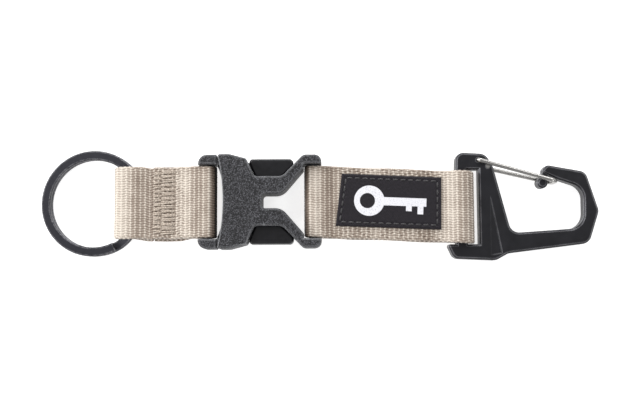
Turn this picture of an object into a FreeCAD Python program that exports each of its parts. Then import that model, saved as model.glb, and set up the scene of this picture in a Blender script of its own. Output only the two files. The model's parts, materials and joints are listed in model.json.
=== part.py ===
"""Key strap with a split ring, a side release buckle and a wire gate snap hook.

The strap lies flat on a table, face up: X runs along it from the ring to the hook,
Y across it and Z up.  The origin is the middle of its bounding box, on the table.
Everything is drawn level about the two web bars of the buckle.  Each strap is then
tipped about its bar until the piece at its far end rests on the table.
All sizes are in millimetres.
"""
import math
import os

import FreeCAD
import Part

V = FreeCAD.Vector
Z_AXIS = V(0, 0, 1)
Y_AXIS = V(0, 1, 0)

# ---- webbing -------------------------------------------------------------------
WEB_WIDTH = 20.0            # width of the nylon webbing
WEB_THICK = 1.2             # thickness of one layer
LAYER_GAP = 0.05            # air left between sewn layers
WEB_SIDE_CLEAR = 0.25       # side play of the webbing between two ears

# ---- split ring ----------------------------------------------------------------
RING_OD = 29.6              # outer diameter
RING_BAND = 2.55            # radial width of the flattened wire
RING_TURN = 1.35            # thickness of one turn
RING_TURN_GAP = 0.12        # gap between the two turns
RING_EDGE = 0.3             # bevel of the wire's edges
RING_END_ANGLE = -64.0      # where the upper turn ends
RING_RAMP_ANGLE = 30.0      # stretch in which the wire climbs from turn to turn
RING_END_GAP = 1.5          # angle between a cut end and the climbing stretch
RING_WEB_CLEAR = 0.12       # play of the ring in its webbing loop
RING_SEAT = 1.3             # webbing left outside the ring where its edges bear on it
RING_TO_FLEX = 1.15         # ring's outer edge to the flex line

# ---- short strap ---------------------------------------------------------------
TACK_START = 8.2            # plug half's web bar to the near edge of the bar tack
TACK_LENGTH = 6.9           # length of the bar tack along the strap
TACK_STITCHES = 16          # stitches side by side across the webbing
TACK_MARGIN = 0.9           # webbing left clear of thread at each edge
THREAD = 0.36               # thickness of the sewing thread
THREAD_PROUD = 0.15         # how far the thread stands proud
FLEX_GAP = 0.06             # play between the two halves of the flex line
FLEX_SWING = 45.0           # how far the ring's loop folds either way

# ---- side release buckle -------------------------------------------------------
BUCKLE_THICK = 9.0          # thickness of the socket half
PANEL_THICK = 1.5           # front and back panel of the socket half
BUCKLE_EDGE = 0.5           # rounding of the moulded edges
BAR_RADIUS = 1.3            # web bars of both halves
BAR_CLEAR = 0.15            # webbing's play round a web bar
EAR_WIDTH = 2.55            # ears of the socket half
BAR_TO_MOUTH = 26.55        # socket half's web bar to its mouth
BAR_TO_BAR = 29.6           # between the two web bars
PLUG_EAR_WIDTH = 2.8        # ears of the plug half
MOUTH_DISH = 1.55           # how far the mouth's edge dishes in
MOUTH_GAP = 0.25            # parting gap between the two halves
SHOULDER_LENGTH = 7.9       # mouth to the side windows
SHOULDER_STEP = 1.25        # taper of each shoulder, mouth to side window
SHOULDER_TAPER = 4.7        # length over which the shoulders taper
FACET_DROP = 11.0           # slope of the shoulder facets, degrees
WAIST_START = 10.3          # mouth to the straight waist
WAIST_LENGTH = 7.5          # straight waist between the windows
WAIST_HALF = 6.85           # half width of the waist
SIDE_WALL = 1.2             # side walls of the socket
CATCH_WALL = 0.9            # side wall where the latch catches
SLOT_HALF = 1.96            # half width of the middle slot
SLOT_START = 12.3           # mouth to the closed end of the middle slot
SLOT_LENGTH = 5.4           # straight part of the middle slot
SLOT_WALL = 1.2             # wall between the slot and the socket
LIMB_WALL = 1.0             # wall between the opening and a thumb pad's pocket
KNEE_STEP = 1.35            # ear's inner face to the opening's edge next to the webbing
FIT_CLEAR = 0.25            # play of the plug half in the socket
EAR_REACH = 2.1             # ear past the web bar, socket half
PLUG_EAR_REACH = 2.4        # ear past the web bar, plug half
PLUG_EAR_THICK = 6.8        # thickness of the plug half's ears
CROSSBAR = 2.3              # plug half's crossbar, along X at the middle
PRONG_HALF = 2.5            # half width of the guide prong
ARM_INSET = 1.0             # mouth to the root of a latch arm
ARM_STEP = 1.95             # outer face of a thumb pad to the root of its latch arm
ARM_HALF = 0.9              # half thickness of a latch arm and radius of its root
ARM_RUNNING = 0.05          # play at a latch arm's root
ARM_SWING = 7.5             # how far a latch arm bends in, degrees
LATCH_PLAY = 0.4            # play between a latch and its catch
PAD_THICK = 5.6             # thickness of a thumb pad
PAD_INNER = 6.45            # inner edge of a thumb pad, from the middle
PAD_LENGTH = 12.6           # length of a thumb pad
PAD_SLANT = 2.1             # slant of its leading end
PAD_EDGE = 0.7              # rounding of its edges
PAD_TIP = 1.9               # width of its trailing end

# ---- long strap and label ------------------------------------------------------
LONG_STRAP = 40.9           # socket half's web bar to the hook's web bar
STRAP_SHEAR = 0.040         # sideways drift of the long strap per unit of length
FLAT_START = 5.4            # web bar to where the sewn layers lie flat
FLAT_LENGTH = 31.0
TAB_INSET = 3.2             # flat part to the tucked-in end, at both of its ends
LABEL_THICK = 0.6
LABEL_START = 6.8           # web bar to the middle of the label's near edge
LABEL_LENGTH = 28.4
LABEL_HEIGHT = 14.5
LABEL_LEAN = 0.9            # how far each corner of the near edge is out of square
LABEL_OFF = 0.7             # label's middle above the strap's middle
MARK_THICK = 0.12           # thickness of the print on the label
MARK_LENGTH = 20.0          # length of the printed key
STITCH_PITCH = 2.15         # label stitches, from one to the next
STITCH_LENGTH = 1.55
STITCH_INSET = 1.15         # label's edge to its line of stitches

# ---- snap hook -----------------------------------------------------------------
HOOK_THICK = 3.8            # thickness of the hook's plate
HOOK_EDGE = 0.5             # bevel of the plate's edges
HOOK_BAR_WIDTH = 3.2        # web bar of the hook, along X
HOOK_BAR_CLEAR = 0.2        # webbing's play round that bar
HOOK_SLOT_CLEAR = 0.35      # side play of the webbing in the hook's slot
SLOT_FAR_WALL = 4.75        # hook's web bar axis to the far wall of its slot
HOOK_TOP = 4.9              # plate above the slot
HOOK_FOOT = 4.5             # plate below the slot
HOOK_REACH = 37.95          # hook's web bar axis to the hook's tip
NOSE_BULB = 1.5             # radius of the nose's bulb
NOSE_NECK = 1.7             # width of the nose's neck
WIRE = 1.2                  # diameter of the gate's wire
WIRE_CLEAR = 0.05           # play between the wire and the plate
WIRE_BEND = 1.5             # bend radius of the wire at its tip
WIRE_HOLE_BEND = 0.9        # bend radius of the wire where it enters the plate
GATE_TIP = (26.35, 7.05)    # wire's outer end, from the hook's web bar

# ---- worked out ----------------------------------------------------------------
MID_Z = BUCKLE_THICK / 2
WEB_HALF = WEB_WIDTH / 2
EAR_INNER = WEB_HALF + WEB_SIDE_CLEAR
MOUTH_HALF = EAR_INNER + PLUG_EAR_WIDTH
SHOULDER_HALF = MOUTH_HALF - SHOULDER_STEP
LIMB_KNEE = EAR_INNER - KNEE_STEP
ARM_Y = SHOULDER_HALF - ARM_STEP
FOLD_IN = BAR_RADIUS + BAR_CLEAR
FOLD_MID = FOLD_IN + WEB_THICK / 2
RING_R = RING_OD / 2
RING_IN = RING_R - RING_BAND
RING_THICK = 2 * RING_TURN + RING_TURN_GAP
STACK = 3 * WEB_THICK + 2 * LAYER_GAP
LAYER = WEB_THICK + LAYER_GAP
CAVITY = BUCKLE_THICK - 2 * PANEL_THICK
PLUG_THICK = CAVITY - 2 * FIT_CLEAR
MOUTH_X = -BAR_TO_MOUTH
PLUG_BAR_X = -BAR_TO_BAR
HOOK_CORNER = math.hypot(HOOK_BAR_WIDTH / 2 - HOOK_EDGE / 2, HOOK_THICK / 2 - HOOK_EDGE / 2)
HOOK_FOLD_IN = HOOK_CORNER + HOOK_EDGE / 2 + HOOK_BAR_CLEAR
HOOK_FOLD_MID = HOOK_FOLD_IN + WEB_THICK / 2

# Places along the short strap, measured from the plug half's web bar to the ring.
TACK_END = TACK_START + TACK_LENGTH
KNUCKLE = STACK / 2
FLEX_AT = TACK_END + 0.1 + KNUCKLE * (1 / math.cos(math.radians(FLEX_SWING)) - 1) + FLEX_GAP
RING_CENTRE = FLEX_AT + RING_TO_FLEX + RING_R
CHORD = math.sqrt(RING_IN ** 2 - min(WEB_HALF, RING_IN - 1) ** 2)
FOLD_OUT_AT = RING_CENTRE - CHORD + RING_SEAT
POCKET_IN = RING_THICK / 2 + RING_WEB_CLEAR

# Tilts that bring the far ends down on to the table.
RING_TIP = math.asin(MID_Z / math.hypot(RING_CENTRE + RING_R, RING_THICK / 2)) \
    - math.atan2(RING_THICK / 2, RING_CENTRE + RING_R)
LONG_TIP = math.asin((MID_Z - HOOK_FOLD_IN - WEB_THICK) / LONG_STRAP)
GATE_LEVEL = HOOK_THICK / 2 + WIRE_CLEAR + WIRE / 2
GATE_REST = (GATE_TIP[0] - WIRE_BEND, GATE_LEVEL + WIRE / 2)
HOOK_TIP = math.asin((HOOK_FOLD_IN + WEB_THICK) / math.hypot(*GATE_REST)) \
    - math.atan2(GATE_REST[1], GATE_REST[0])
HOOK_X = LONG_STRAP * math.cos(LONG_TIP)
HOOK_Y = -STRAP_SHEAR * LONG_STRAP
HOOK_Z = MID_Z - LONG_STRAP * math.sin(LONG_TIP)


# ---- drawing helpers -----------------------------------------------------------
def rounded_path(points, closed=True):
    """Edges through points (x, y, radius) or (x, y, z, radius), each corner rounded."""
    at = [V(p[0], p[1], p[2] if len(p) == 4 else 0) for p in points]
    count = len(at)
    starts, ends, middles = list(at), list(at), [None] * count
    for i, point in enumerate(points):
        radius = point[-1]
        if not radius or (not closed and i in (0, count - 1)):
            continue
        back = (at[i - 1] - at[i]).normalize()
        on = (at[(i + 1) % count] - at[i]).normalize()
        turn = math.acos(max(-1, min(1, back.dot(on))))
        if turn > math.pi - 1e-4:
            continue
        reach = radius / math.tan(turn / 2)
        starts[i] = at[i] + back * reach
        ends[i] = at[i] + on * reach
        middles[i] = at[i] + (back + on).normalize() * (radius / math.sin(turn / 2) - radius)
    edges = []
    for i in range(count):
        if middles[i] is not None:
            edges.append(Part.Arc(starts[i], middles[i], ends[i]).toShape())
        after = starts[(i + 1) % count]
        if (closed or i < count - 1) and (after - ends[i]).Length > 1e-5:
            edges.append(Part.LineSegment(ends[i], after).toShape())
    return edges


def plate(points, low, high):
    """A flat plate between two heights, from a rounded outline."""
    face = Part.Face(Part.Wire(rounded_path(points)))
    solid = face.extrude(V(0, 0, high - low))
    solid.translate(V(0, 0, low))
    return solid


def both_sides(half):
    """A closed outline from its upper half."""
    return half + [(x, -y, r) for x, y, r in reversed(half) if y > 1e-9]


def mirrored(points):
    return [(x, -y, r) for x, y, r in reversed(points)]


def box(x0, x1, y0, y1, z0, z1):
    return Part.makeBox(x1 - x0, y1 - y0, z1 - z0, V(x0, y0, z0))


def bar_along_y(x, z, radius, half):
    return Part.makeCylinder(radius, 2 * half, V(x, -half, z), Y_AXIS)


def edges_at(solid, *heights):
    """Edges that lie level at one of the heights."""
    found = []
    for edge in solid.Edges:
        span = edge.BoundBox
        if any(abs(span.ZMin - z) < 1e-3 and abs(span.ZMax - z) < 1e-3 for z in heights):
            found.append(edge)
    return found


def soften(solid, radius, *heights):
    """Rounds the level edges at the given heights."""
    return solid.makeFillet(radius, edges_at(solid, *heights))


def fuse(first, *others):
    return first.fuse(list(others)).removeSplitter()


def tipped(shape, x, z, angle, y=0.0):
    """A copy turned about a line along Y: a positive angle lowers the +X side."""
    copy = shape.copy()
    copy.rotate(V(x, y, z), Y_AXIS, math.degrees(angle))
    return copy


# ---- webbing -------------------------------------------------------------------
def corner_on(point, centre, radius, side, above):
    """Corner of the tangent from a point with the wall of a bar, rounded on to the bar."""
    dx, dz = point[0] - centre[0], point[1] - centre[1]
    swing = math.acos(radius / math.hypot(dx, dz))
    wall = centre[0] + side * radius
    for touch in (math.atan2(dz, dx) + swing, math.atan2(dz, dx) - swing):
        if (math.sin(touch) > 0) == above:
            tx = centre[0] + radius * math.cos(touch)
            tz = centre[1] + radius * math.sin(touch)
            return (wall, point[1] + (tz - point[1]) / (tx - point[0]) * (wall - point[0]), radius)


def wrap(start, end, centre, radius, side, from_above):
    """Corner points that take a path round a bar: side +1 round its right, -1 its left."""
    return [corner_on(start, centre, radius, side, from_above),
            corner_on(end, centre, radius, side, not from_above)]


def band(points, thick):
    """Closed edges of a strip of even thickness along a path of runs and tangent arcs."""
    sides = []
    middle = rounded_path(points, closed=False)
    for sign in (1, -1):
        side = []
        for edge in middle:
            first, last = edge.FirstParameter, edge.LastParameter
            ends = []
            for at in (first, (first + last) / 2, last):
                t = edge.tangentAt(at)
                ends.append(edge.valueAt(at) + V(-t.y, t.x, 0) * (sign * thick / 2))
            curved = edge.Curve.TypeId == "Part::GeomCircle"
            shape = Part.Arc(*ends) if curved else Part.LineSegment(ends[0], ends[2])
            side.append((shape.toShape(), ends[0], ends[2]))
        sides.append(side)
    caps = [Part.LineSegment(sides[0][i][j], sides[1][i][j]).toShape()
            for i, j in ((0, 1), (-1, 2))]
    return [e[0] for side in sides for e in side] + caps


def prism_xz(edges, shear=0.0, width=WEB_WIDTH):
    """A solid from its side view: drawn in XZ and drawn out across Y."""
    face = Part.Face(Part.Wire(Part.__sortEdges__(edges)))
    face.rotate(V(0, 0, 0), V(1, 0, 0), 90)
    face.rotate(V(0, 0, 0), Z_AXIS, -math.degrees(math.atan(shear)))
    face.translate(V(0, -width / 2, 0))
    return face.extrude(V(0, width, 0))


def thread_run(points, width, low, high, closed=False):
    """Thread along a line of points: straight runs with round joints, as one solid."""
    pieces = []
    pairs = list(zip(points, points[1:] + points[:1] if closed else points[1:]))
    for a, b in pairs:
        length = math.hypot(b[0] - a[0], b[1] - a[1])
        run = box(0, length, -width / 2, width / 2, low, high)
        run.rotate(V(0, 0, 0), Z_AXIS, math.degrees(math.atan2(b[1] - a[1], b[0] - a[0])))
        run.translate(V(a[0], a[1], 0))
        pieces.append(run)
        pieces.append(Part.makeCylinder(width / 2, high - low, V(a[0], a[1], low)))
    end = points[0] if closed else points[-1]
    if not closed:
        pieces.append(Part.makeCylinder(width / 2, high - low, V(end[0], end[1], low)))
    return fuse(pieces[0], *pieces[1:])


# ---- split ring ----------------------------------------------------------------
def ring_section(angle, middle):
    """Outline of the flattened wire, standing across the ring at an angle."""
    low, high = middle - RING_TURN / 2, middle + RING_TURN / 2
    e = RING_EDGE
    corners = [(RING_IN + e, low), (RING_R - e, low), (RING_R, low + e), (RING_R, high - e),
               (RING_R - e, high), (RING_IN + e, high), (RING_IN, high - e), (RING_IN, low + e)]
    points = [V(r, 0, z) for r, z in corners]
    wire = Part.makePolygon(points + points[:1])
    wire.rotate(V(0, 0, 0), Z_AXIS, angle)
    return wire


def split_ring():
    """Two turns of flattened wire joined by a short climb, about the origin."""
    lift = (RING_TURN + RING_TURN_GAP) / 2
    climb_end = RING_END_ANGLE + RING_END_GAP + RING_RAMP_ANGLE
    climb_start = climb_end - RING_RAMP_ANGLE
    turns = []
    for start, end, middle in ((climb_end + RING_END_GAP, climb_start + 360, -lift),
                               (climb_end, climb_start + 360 - RING_END_GAP, lift)):
        face = Part.Face(ring_section(start, middle))
        turns.append(face.revolve(V(0, 0, 0), Z_AXIS, end - start))
    steps = 6
    sections = []
    for i in range(steps + 1):
        share = i / steps
        rise = share * share * (3 - 2 * share)
        sections.append(ring_section(climb_start + share * RING_RAMP_ANGLE, lift * (2 * rise - 1)))
    ramp = Part.makeLoft(sections, True, False)
    return fuse(turns[0], ramp, turns[1])


def place_short(shape):
    """Puts a piece drawn about the plug half's web bar in its place and tips it."""
    shape.translate(V(PLUG_BAR_X, 0, MID_Z))
    return tipped(shape, PLUG_BAR_X, MID_Z, -RING_TIP)


# ---- short strap ---------------------------------------------------------------
def knuckle_room():
    """Space swept by the rounded end of the ring's loop at the flex line."""
    grown = KNUCKLE + FLEX_GAP
    room = [bar_along_y(-FLEX_AT, 0, grown, WEB_WIDTH)]
    for swing in (-FLEX_SWING, 0, FLEX_SWING):
        slab = box(-FLEX_AT - 8, -FLEX_AT, -WEB_WIDTH, WEB_WIDTH, -grown, grown)
        slab.rotate(V(-FLEX_AT, 0, 0), Y_AXIS, swing)
        room.append(slab)
    return fuse(room[0], *room[1:])


def short_strap():
    settle = (-(TACK_START - 1.2), LAYER)
    under = (settle[0], -LAYER)
    path = [(-FLEX_AT, LAYER, 0), (*settle, 4.0)]
    path += wrap(settle, under, (0, 0), FOLD_MID, 1, True)
    path += [(*under, 4.0), (-TACK_END, -LAYER, 0)]
    outer = prism_xz(band(path, WEB_THICK))
    inner = box(-FLEX_AT, -TACK_START, -WEB_HALF, WEB_HALF, -WEB_THICK / 2, WEB_THICK / 2)
    sewn = box(-FLEX_AT, -(FLEX_AT - KNUCKLE - 1.2), -WEB_HALF, WEB_HALF, -KNUCKLE, KNUCKLE)
    return fuse(outer, inner, sewn).cut(knuckle_room()).removeSplitter()


def ring_loop():
    high = POCKET_IN + WEB_THICK
    near, far = -FLEX_AT - 1.3, -FLEX_AT - 3.2
    top = [(near, KNUCKLE, 2.0), (far, high, 2.0), (-FOLD_OUT_AT, high, high)]
    outline = [(-FLEX_AT, KNUCKLE, 0)] + top + mirrored(top) + [(-FLEX_AT, -KNUCKLE, 0)]
    edges = rounded_path(outline, closed=False)
    edges.append(Part.Arc(V(-FLEX_AT, -KNUCKLE, 0), V(-FLEX_AT + KNUCKLE, 0, 0),
                          V(-FLEX_AT, KNUCKLE, 0)).toShape())
    body = prism_xz(edges)
    inside = [(-FLEX_AT - 0.9, 0.75, 0), (far, POCKET_IN, 1.0),
              (-FOLD_OUT_AT + WEB_THICK, POCKET_IN, POCKET_IN)]
    pocket = prism_xz(rounded_path(inside + mirrored(inside)), width=WEB_WIDTH + 2)
    room = RING_WEB_CLEAR
    ring_room = Part.makeCylinder(RING_R + room, RING_THICK + 2 * room,
                                  V(-RING_CENTRE, 0, -RING_THICK / 2 - room))
    ring_room = ring_room.cut(Part.makeCylinder(RING_IN - room, RING_THICK + 4 * room,
                                                V(-RING_CENTRE, 0, -RING_THICK / 2 - 2 * room)))
    return body.cut(pocket).cut(ring_room)


def tack_thread(face):
    """Zigzag of the bar tack on the face (+1) or on the back (-1) of the short strap."""
    half = WEB_HALF - TACK_MARGIN
    points = []
    for i in range(TACK_STITCHES + 1):
        at = -(TACK_START + 0.2) if i % 2 else -(TACK_END - 0.25)
        points.append((at, -half + 2 * half * i / TACK_STITCHES))
    low, high = sorted((face * (KNUCKLE + THREAD_PROUD), face * (KNUCKLE + THREAD_PROUD - THREAD)))
    return thread_run(points, THREAD, low, high)


# ---- side release buckle -------------------------------------------------------
def dish(edge_x, half, depth, low, high):
    """Round cutter that dishes an edge facing -X, deepest at the middle."""
    radius = (half ** 2 + depth ** 2) / (2 * depth)
    return Part.makeCylinder(radius, high - low, V(edge_x + depth - radius, 0, low))


def female_buckle():
    m = MOUTH_X
    outer = [(m, MOUTH_HALF, 0.8), (m + SHOULDER_LENGTH - SHOULDER_TAPER, MOUTH_HALF, 4.0),
             (m + SHOULDER_LENGTH, SHOULDER_HALF, 0.8), (m + WAIST_START, WAIST_HALF, 1.0),
             (m + WAIST_START + WAIST_LENGTH, WAIST_HALF, 2.5)]
    knee = EAR_INNER + EAR_WIDTH
    outer += [(-2.95, knee, 2.0), (EAR_REACH, knee, 2.0)]
    fold = FOLD_IN + WEB_THICK + 0.2
    inner = [(EAR_REACH, EAR_INNER, 0.3), (-fold, EAR_INNER, 0), (-fold, LIMB_KNEE, 0),
             (m + SLOT_START + SLOT_LENGTH, SLOT_HALF, 4.0), (m + SLOT_START, SLOT_HALF, 0.9)]
    body = plate([(m, 0, 0)] + outer + inner + mirrored(outer + inner), 0, BUCKLE_THICK)
    body = soften(body, BUCKLE_EDGE, 0, BUCKLE_THICK)
    body = body.cut(dish(m, MOUTH_HALF, MOUTH_DISH, -1, BUCKLE_THICK + 1))

    # Shoulder facets fall away from the raised panel on both faces.
    start = V(m + 3.8, MOUTH_HALF + 0.3, BUCKLE_THICK)
    end = V(m + SHOULDER_LENGTH + 1.6, 8.6, BUCKLE_THICK)
    along = (end - start).normalize()
    for side in (1, -1):
        for face in (1, -1):
            a, b = start - along * 4, end + along * 4
            out = V(-along.y, along.x, 0) * 9
            wedge = Part.Face(Part.makePolygon([a, b, b + out, a + out, a])).extrude(V(0, 0, 4))
            wedge.rotate(start, along, -FACET_DROP)
            if side < 0:
                wedge = wedge.mirror(V(0, 0, 0), V(0, 1, 0))
            if face < 0:
                wedge = wedge.mirror(V(0, 0, MID_Z), V(0, 0, 1))
            body = body.cut(wedge)

    # Socket between the two panels, running out into the side windows.
    closed = m + SLOT_START - SLOT_WALL
    throat = MOUTH_HALF - SIDE_WALL
    side_wall = SLOT_HALF + SLOT_WALL
    start_x, start_y = m + SLOT_START + SLOT_LENGTH, SLOT_HALF
    run, rise = -fold - start_x, LIMB_KNEE - start_y
    length = math.hypot(run, rise)
    foot_x, foot_y = start_x - LIMB_WALL * rise / length, start_y + LIMB_WALL * run / length
    low_x = foot_x + (side_wall - foot_y) * run / rise
    pad_end = m + SHOULDER_LENGTH + LATCH_PLAY + PAD_LENGTH + 0.65
    high_y = foot_y + (pad_end - foot_x) * rise / run
    cavity = [(m - 1, throat, 0), (m + SHOULDER_LENGTH - SHOULDER_TAPER, throat, 0),
              (m + SHOULDER_LENGTH, SHOULDER_HALF - CATCH_WALL, 0),
              (m + SHOULDER_LENGTH, MOUTH_HALF + 2, 0), (pad_end, MOUTH_HALF + 2, 0),
              (pad_end, high_y, 0), (low_x, side_wall, 0), (closed, side_wall, 0)]
    body = body.cut(plate(cavity + mirrored(cavity), PANEL_THICK, BUCKLE_THICK - PANEL_THICK))
    return fuse(body, bar_along_y(0, MID_Z, BAR_RADIUS, EAR_INNER + 0.4))


def male_buckle():
    m = MOUTH_X
    bar = PLUG_BAR_X
    ear_z = PLUG_EAR_THICK / 2
    ear = [(bar - PLUG_EAR_REACH, MOUTH_HALF, 2.5), (m - MOUTH_GAP, MOUTH_HALF, 0.4),
           (m - MOUTH_GAP, EAR_INNER, 0), (bar - PLUG_EAR_REACH, EAR_INNER, 0)]
    ears = []
    for points in (ear, mirrored(ear)):
        solid = plate(points, MID_Z - ear_z, MID_Z + ear_z)
        ears.append(soften(solid, BUCKLE_EDGE, MID_Z - ear_z, MID_Z + ear_z))

    low, high = MID_Z - PLUG_THICK / 2, MID_Z + PLUG_THICK / 2
    throat = MOUTH_HALF - SIDE_WALL - FIT_CLEAR
    left = m - MOUTH_GAP - 0.5
    root_x = m + ARM_INSET
    back = root_x - 0.1
    right = m + MOUTH_DISH + 0.4 + CROSSBAR
    arm_room = ARM_Y - ARM_HALF - 0.9
    half = [(left, throat, 0), (back, throat, 0.3), (back, arm_room, 0.5), (right, arm_room - 1.2, 0.8),
            (right, PRONG_HALF + 1.5, 1.2)]
    tip = m + SLOT_START - SLOT_WALL - 0.4
    prong = [(right + 1.5, PRONG_HALF, 1.2), (tip - 1.5, PRONG_HALF, 1.0), (tip, PRONG_HALF - 0.9, 0.6)]
    base = plate([(left, 0, 0)] + half + prong + mirrored(half + prong), low, high)
    base = soften(base, 0.25, low, high)
    base = base.cut(dish(m - MOUTH_GAP, EAR_INNER, MOUTH_DISH + 0.65, low - 1, high + 1))
    base = base.cut(box(left - 1, m - MOUTH_GAP, -EAR_INNER, EAR_INNER, low - 1, high + 1))
    frame = fuse(base, *ears, bar_along_y(bar, MID_Z, BAR_RADIUS, EAR_INNER + 0.4))
    for side in (1, -1):
        seat = Part.makeCylinder(ARM_HALF + ARM_RUNNING, BUCKLE_THICK, V(root_x, side * ARM_Y, 0))
        frame = frame.cut(seat)
    return frame


def latch_arm(side):
    """Springy arm with its thumb pad; side is +1 for the arm on +Y."""
    m = MOUTH_X
    root_x = m + ARM_INSET
    start = m + SHOULDER_LENGTH + LATCH_PLAY
    end = start + PAD_LENGTH
    slope = (SHOULDER_HALF - PAD_INNER)
    pad = [(start, SHOULDER_HALF, 0.9), (start + PAD_SLANT, PAD_INNER, 0.9),
           (m + WAIST_START + WAIST_LENGTH - 0.4, PAD_INNER, 1.2),
           (end, SHOULDER_HALF - PAD_TIP, 0.9), (end, SHOULDER_HALF, 1.2)]
    half = PAD_THICK / 2
    grip = plate(list(reversed(pad)), MID_Z - half, MID_Z + half)
    grip = soften(grip, PAD_EDGE, MID_Z - half, MID_Z + half)
    thin = half - 0.6
    arm = box(root_x, start + 2, ARM_Y - ARM_HALF, ARM_Y + ARM_HALF, MID_Z - thin, MID_Z + thin)
    root = Part.makeCylinder(ARM_HALF, 2 * thin, V(root_x, ARM_Y, MID_Z - thin))
    solid = fuse(grip, arm, root)
    return solid if side > 0 else solid.mirror(V(0, 0, 0), V(0, 1, 0))


# ---- long strap and label ------------------------------------------------------
def place_long(shape):
    """Puts a piece drawn about the socket half's web bar in its place and tips it."""
    shape.translate(V(0, 0, MID_Z))
    return tipped(shape, 0, MID_Z, LONG_TIP)


def long_strap():
    flat_end = FLAT_START + FLAT_LENGTH
    tuck = FLAT_START + TAB_INSET
    front, hook = (FLAT_START, LAYER), (LONG_STRAP, 0)
    path = [(flat_end - TAB_INSET, 0, 0), (tuck, 0, 4.0)]
    path += wrap((tuck, 0), front, (0, 0), FOLD_MID, -1, False)
    path += [(*front, 3.0), (flat_end, LAYER, 3.0)]
    path += wrap((flat_end, LAYER), (flat_end, -LAYER), hook, HOOK_FOLD_MID, 1, True)
    path += [(flat_end, -LAYER, 3.0), (tuck + 0.5, -LAYER, 0)]
    return prism_xz(band(path, WEB_THICK), STRAP_SHEAR)


def label_corners(inset):
    """Corners of the label, drawn in by an inset."""
    def at(x, lean, y):
        return (x + lean * (1 if y > 0 else -1), -STRAP_SHEAR * x + LABEL_OFF + y)
    left, right = LABEL_START + inset, LABEL_START + LABEL_LENGTH - inset
    half = LABEL_HEIGHT / 2 - inset
    return [at(left, LABEL_LEAN, half), at(right, 0.1, half), at(right, 0.1, -half),
            at(left, LABEL_LEAN, -half)]


def label_patch():
    corners = [(x, y, 0.5) for x, y in reversed(label_corners(0))]
    solid = plate(corners, KNUCKLE, KNUCKLE + LABEL_THICK)
    return soften(solid, 0.2, KNUCKLE + LABEL_THICK)


def label_thread(face):
    """Line of stitches round the label, seen on its face (+1) or on the strap's back (-1)."""
    top = KNUCKLE + LABEL_THICK if face > 0 else KNUCKLE
    low, high = sorted((face * (top - THREAD + 0.05), face * (top - 0.06)))
    corners = label_corners(STITCH_INSET)
    line = thread_run(corners, THREAD, low, high, closed=True)
    rise = sorted((face * (top - THREAD + 0.05), face * (top + THREAD_PROUD)))
    stitches = []
    for a, b in zip(corners, corners[1:] + corners[:1]):
        length = math.hypot(b[0] - a[0], b[1] - a[1])
        count = round(length / STITCH_PITCH)
        ux, uy = (b[0] - a[0]) / length, (b[1] - a[1]) / length
        for i in range(count):
            middle = (i + 0.5) * length / count
            ends = [(a[0] + ux * (middle + s * STITCH_LENGTH / 2),
                     a[1] + uy * (middle + s * STITCH_LENGTH / 2)) for s in (-1, 1)]
            stitches.append(thread_run(ends, THREAD, *rise))
    return fuse(line, *stitches)


def label_mark():
    """Plain picture of a key: a ring bow, a shaft and two bits."""
    low = KNUCKLE + LABEL_THICK
    bow = MARK_LENGTH * 0.21
    centre = LABEL_START + LABEL_LENGTH / 2
    x = centre - MARK_LENGTH / 2 + bow
    end = centre + MARK_LENGTH / 2
    shaft = bow * 0.27
    pieces = [Part.makeCylinder(bow, MARK_THICK, V(x, 0, low)),
              box(x, end, -shaft, shaft, low, low + MARK_THICK)]
    for share, depth in ((0.04, 0.78), (0.2, 0.6)):
        right = end - MARK_LENGTH * share
        pieces.append(box(right - MARK_LENGTH * 0.08, right, -bow * depth, 0, low, low + MARK_THICK))
    key = fuse(*pieces).cut(Part.makeCylinder(bow * 0.5, 2, V(x - bow * 0.12, 0, low - 1)))
    key.rotate(V(centre, 0, 0), Z_AXIS, -math.degrees(math.atan(STRAP_SHEAR)))
    key.translate(V(0, -STRAP_SHEAR * centre + LABEL_OFF, 0))
    return key


# ---- snap hook -----------------------------------------------------------------
HOLE_FRONT = (SLOT_FAR_WALL, WEB_HALF + 3.05)
HOLE_BACK = (SLOT_FAR_WALL + 2.7, WEB_HALF + 1.35)
BULB = (22.65, 6.65)


def place_hook(shape):
    """Puts a piece drawn about the middle of the hook's web bar in its place."""
    turned = tipped(shape, 0, 0, HOOK_TIP)
    turned.translate(V(HOOK_X, HOOK_Y, HOOK_Z))
    return turned


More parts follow.
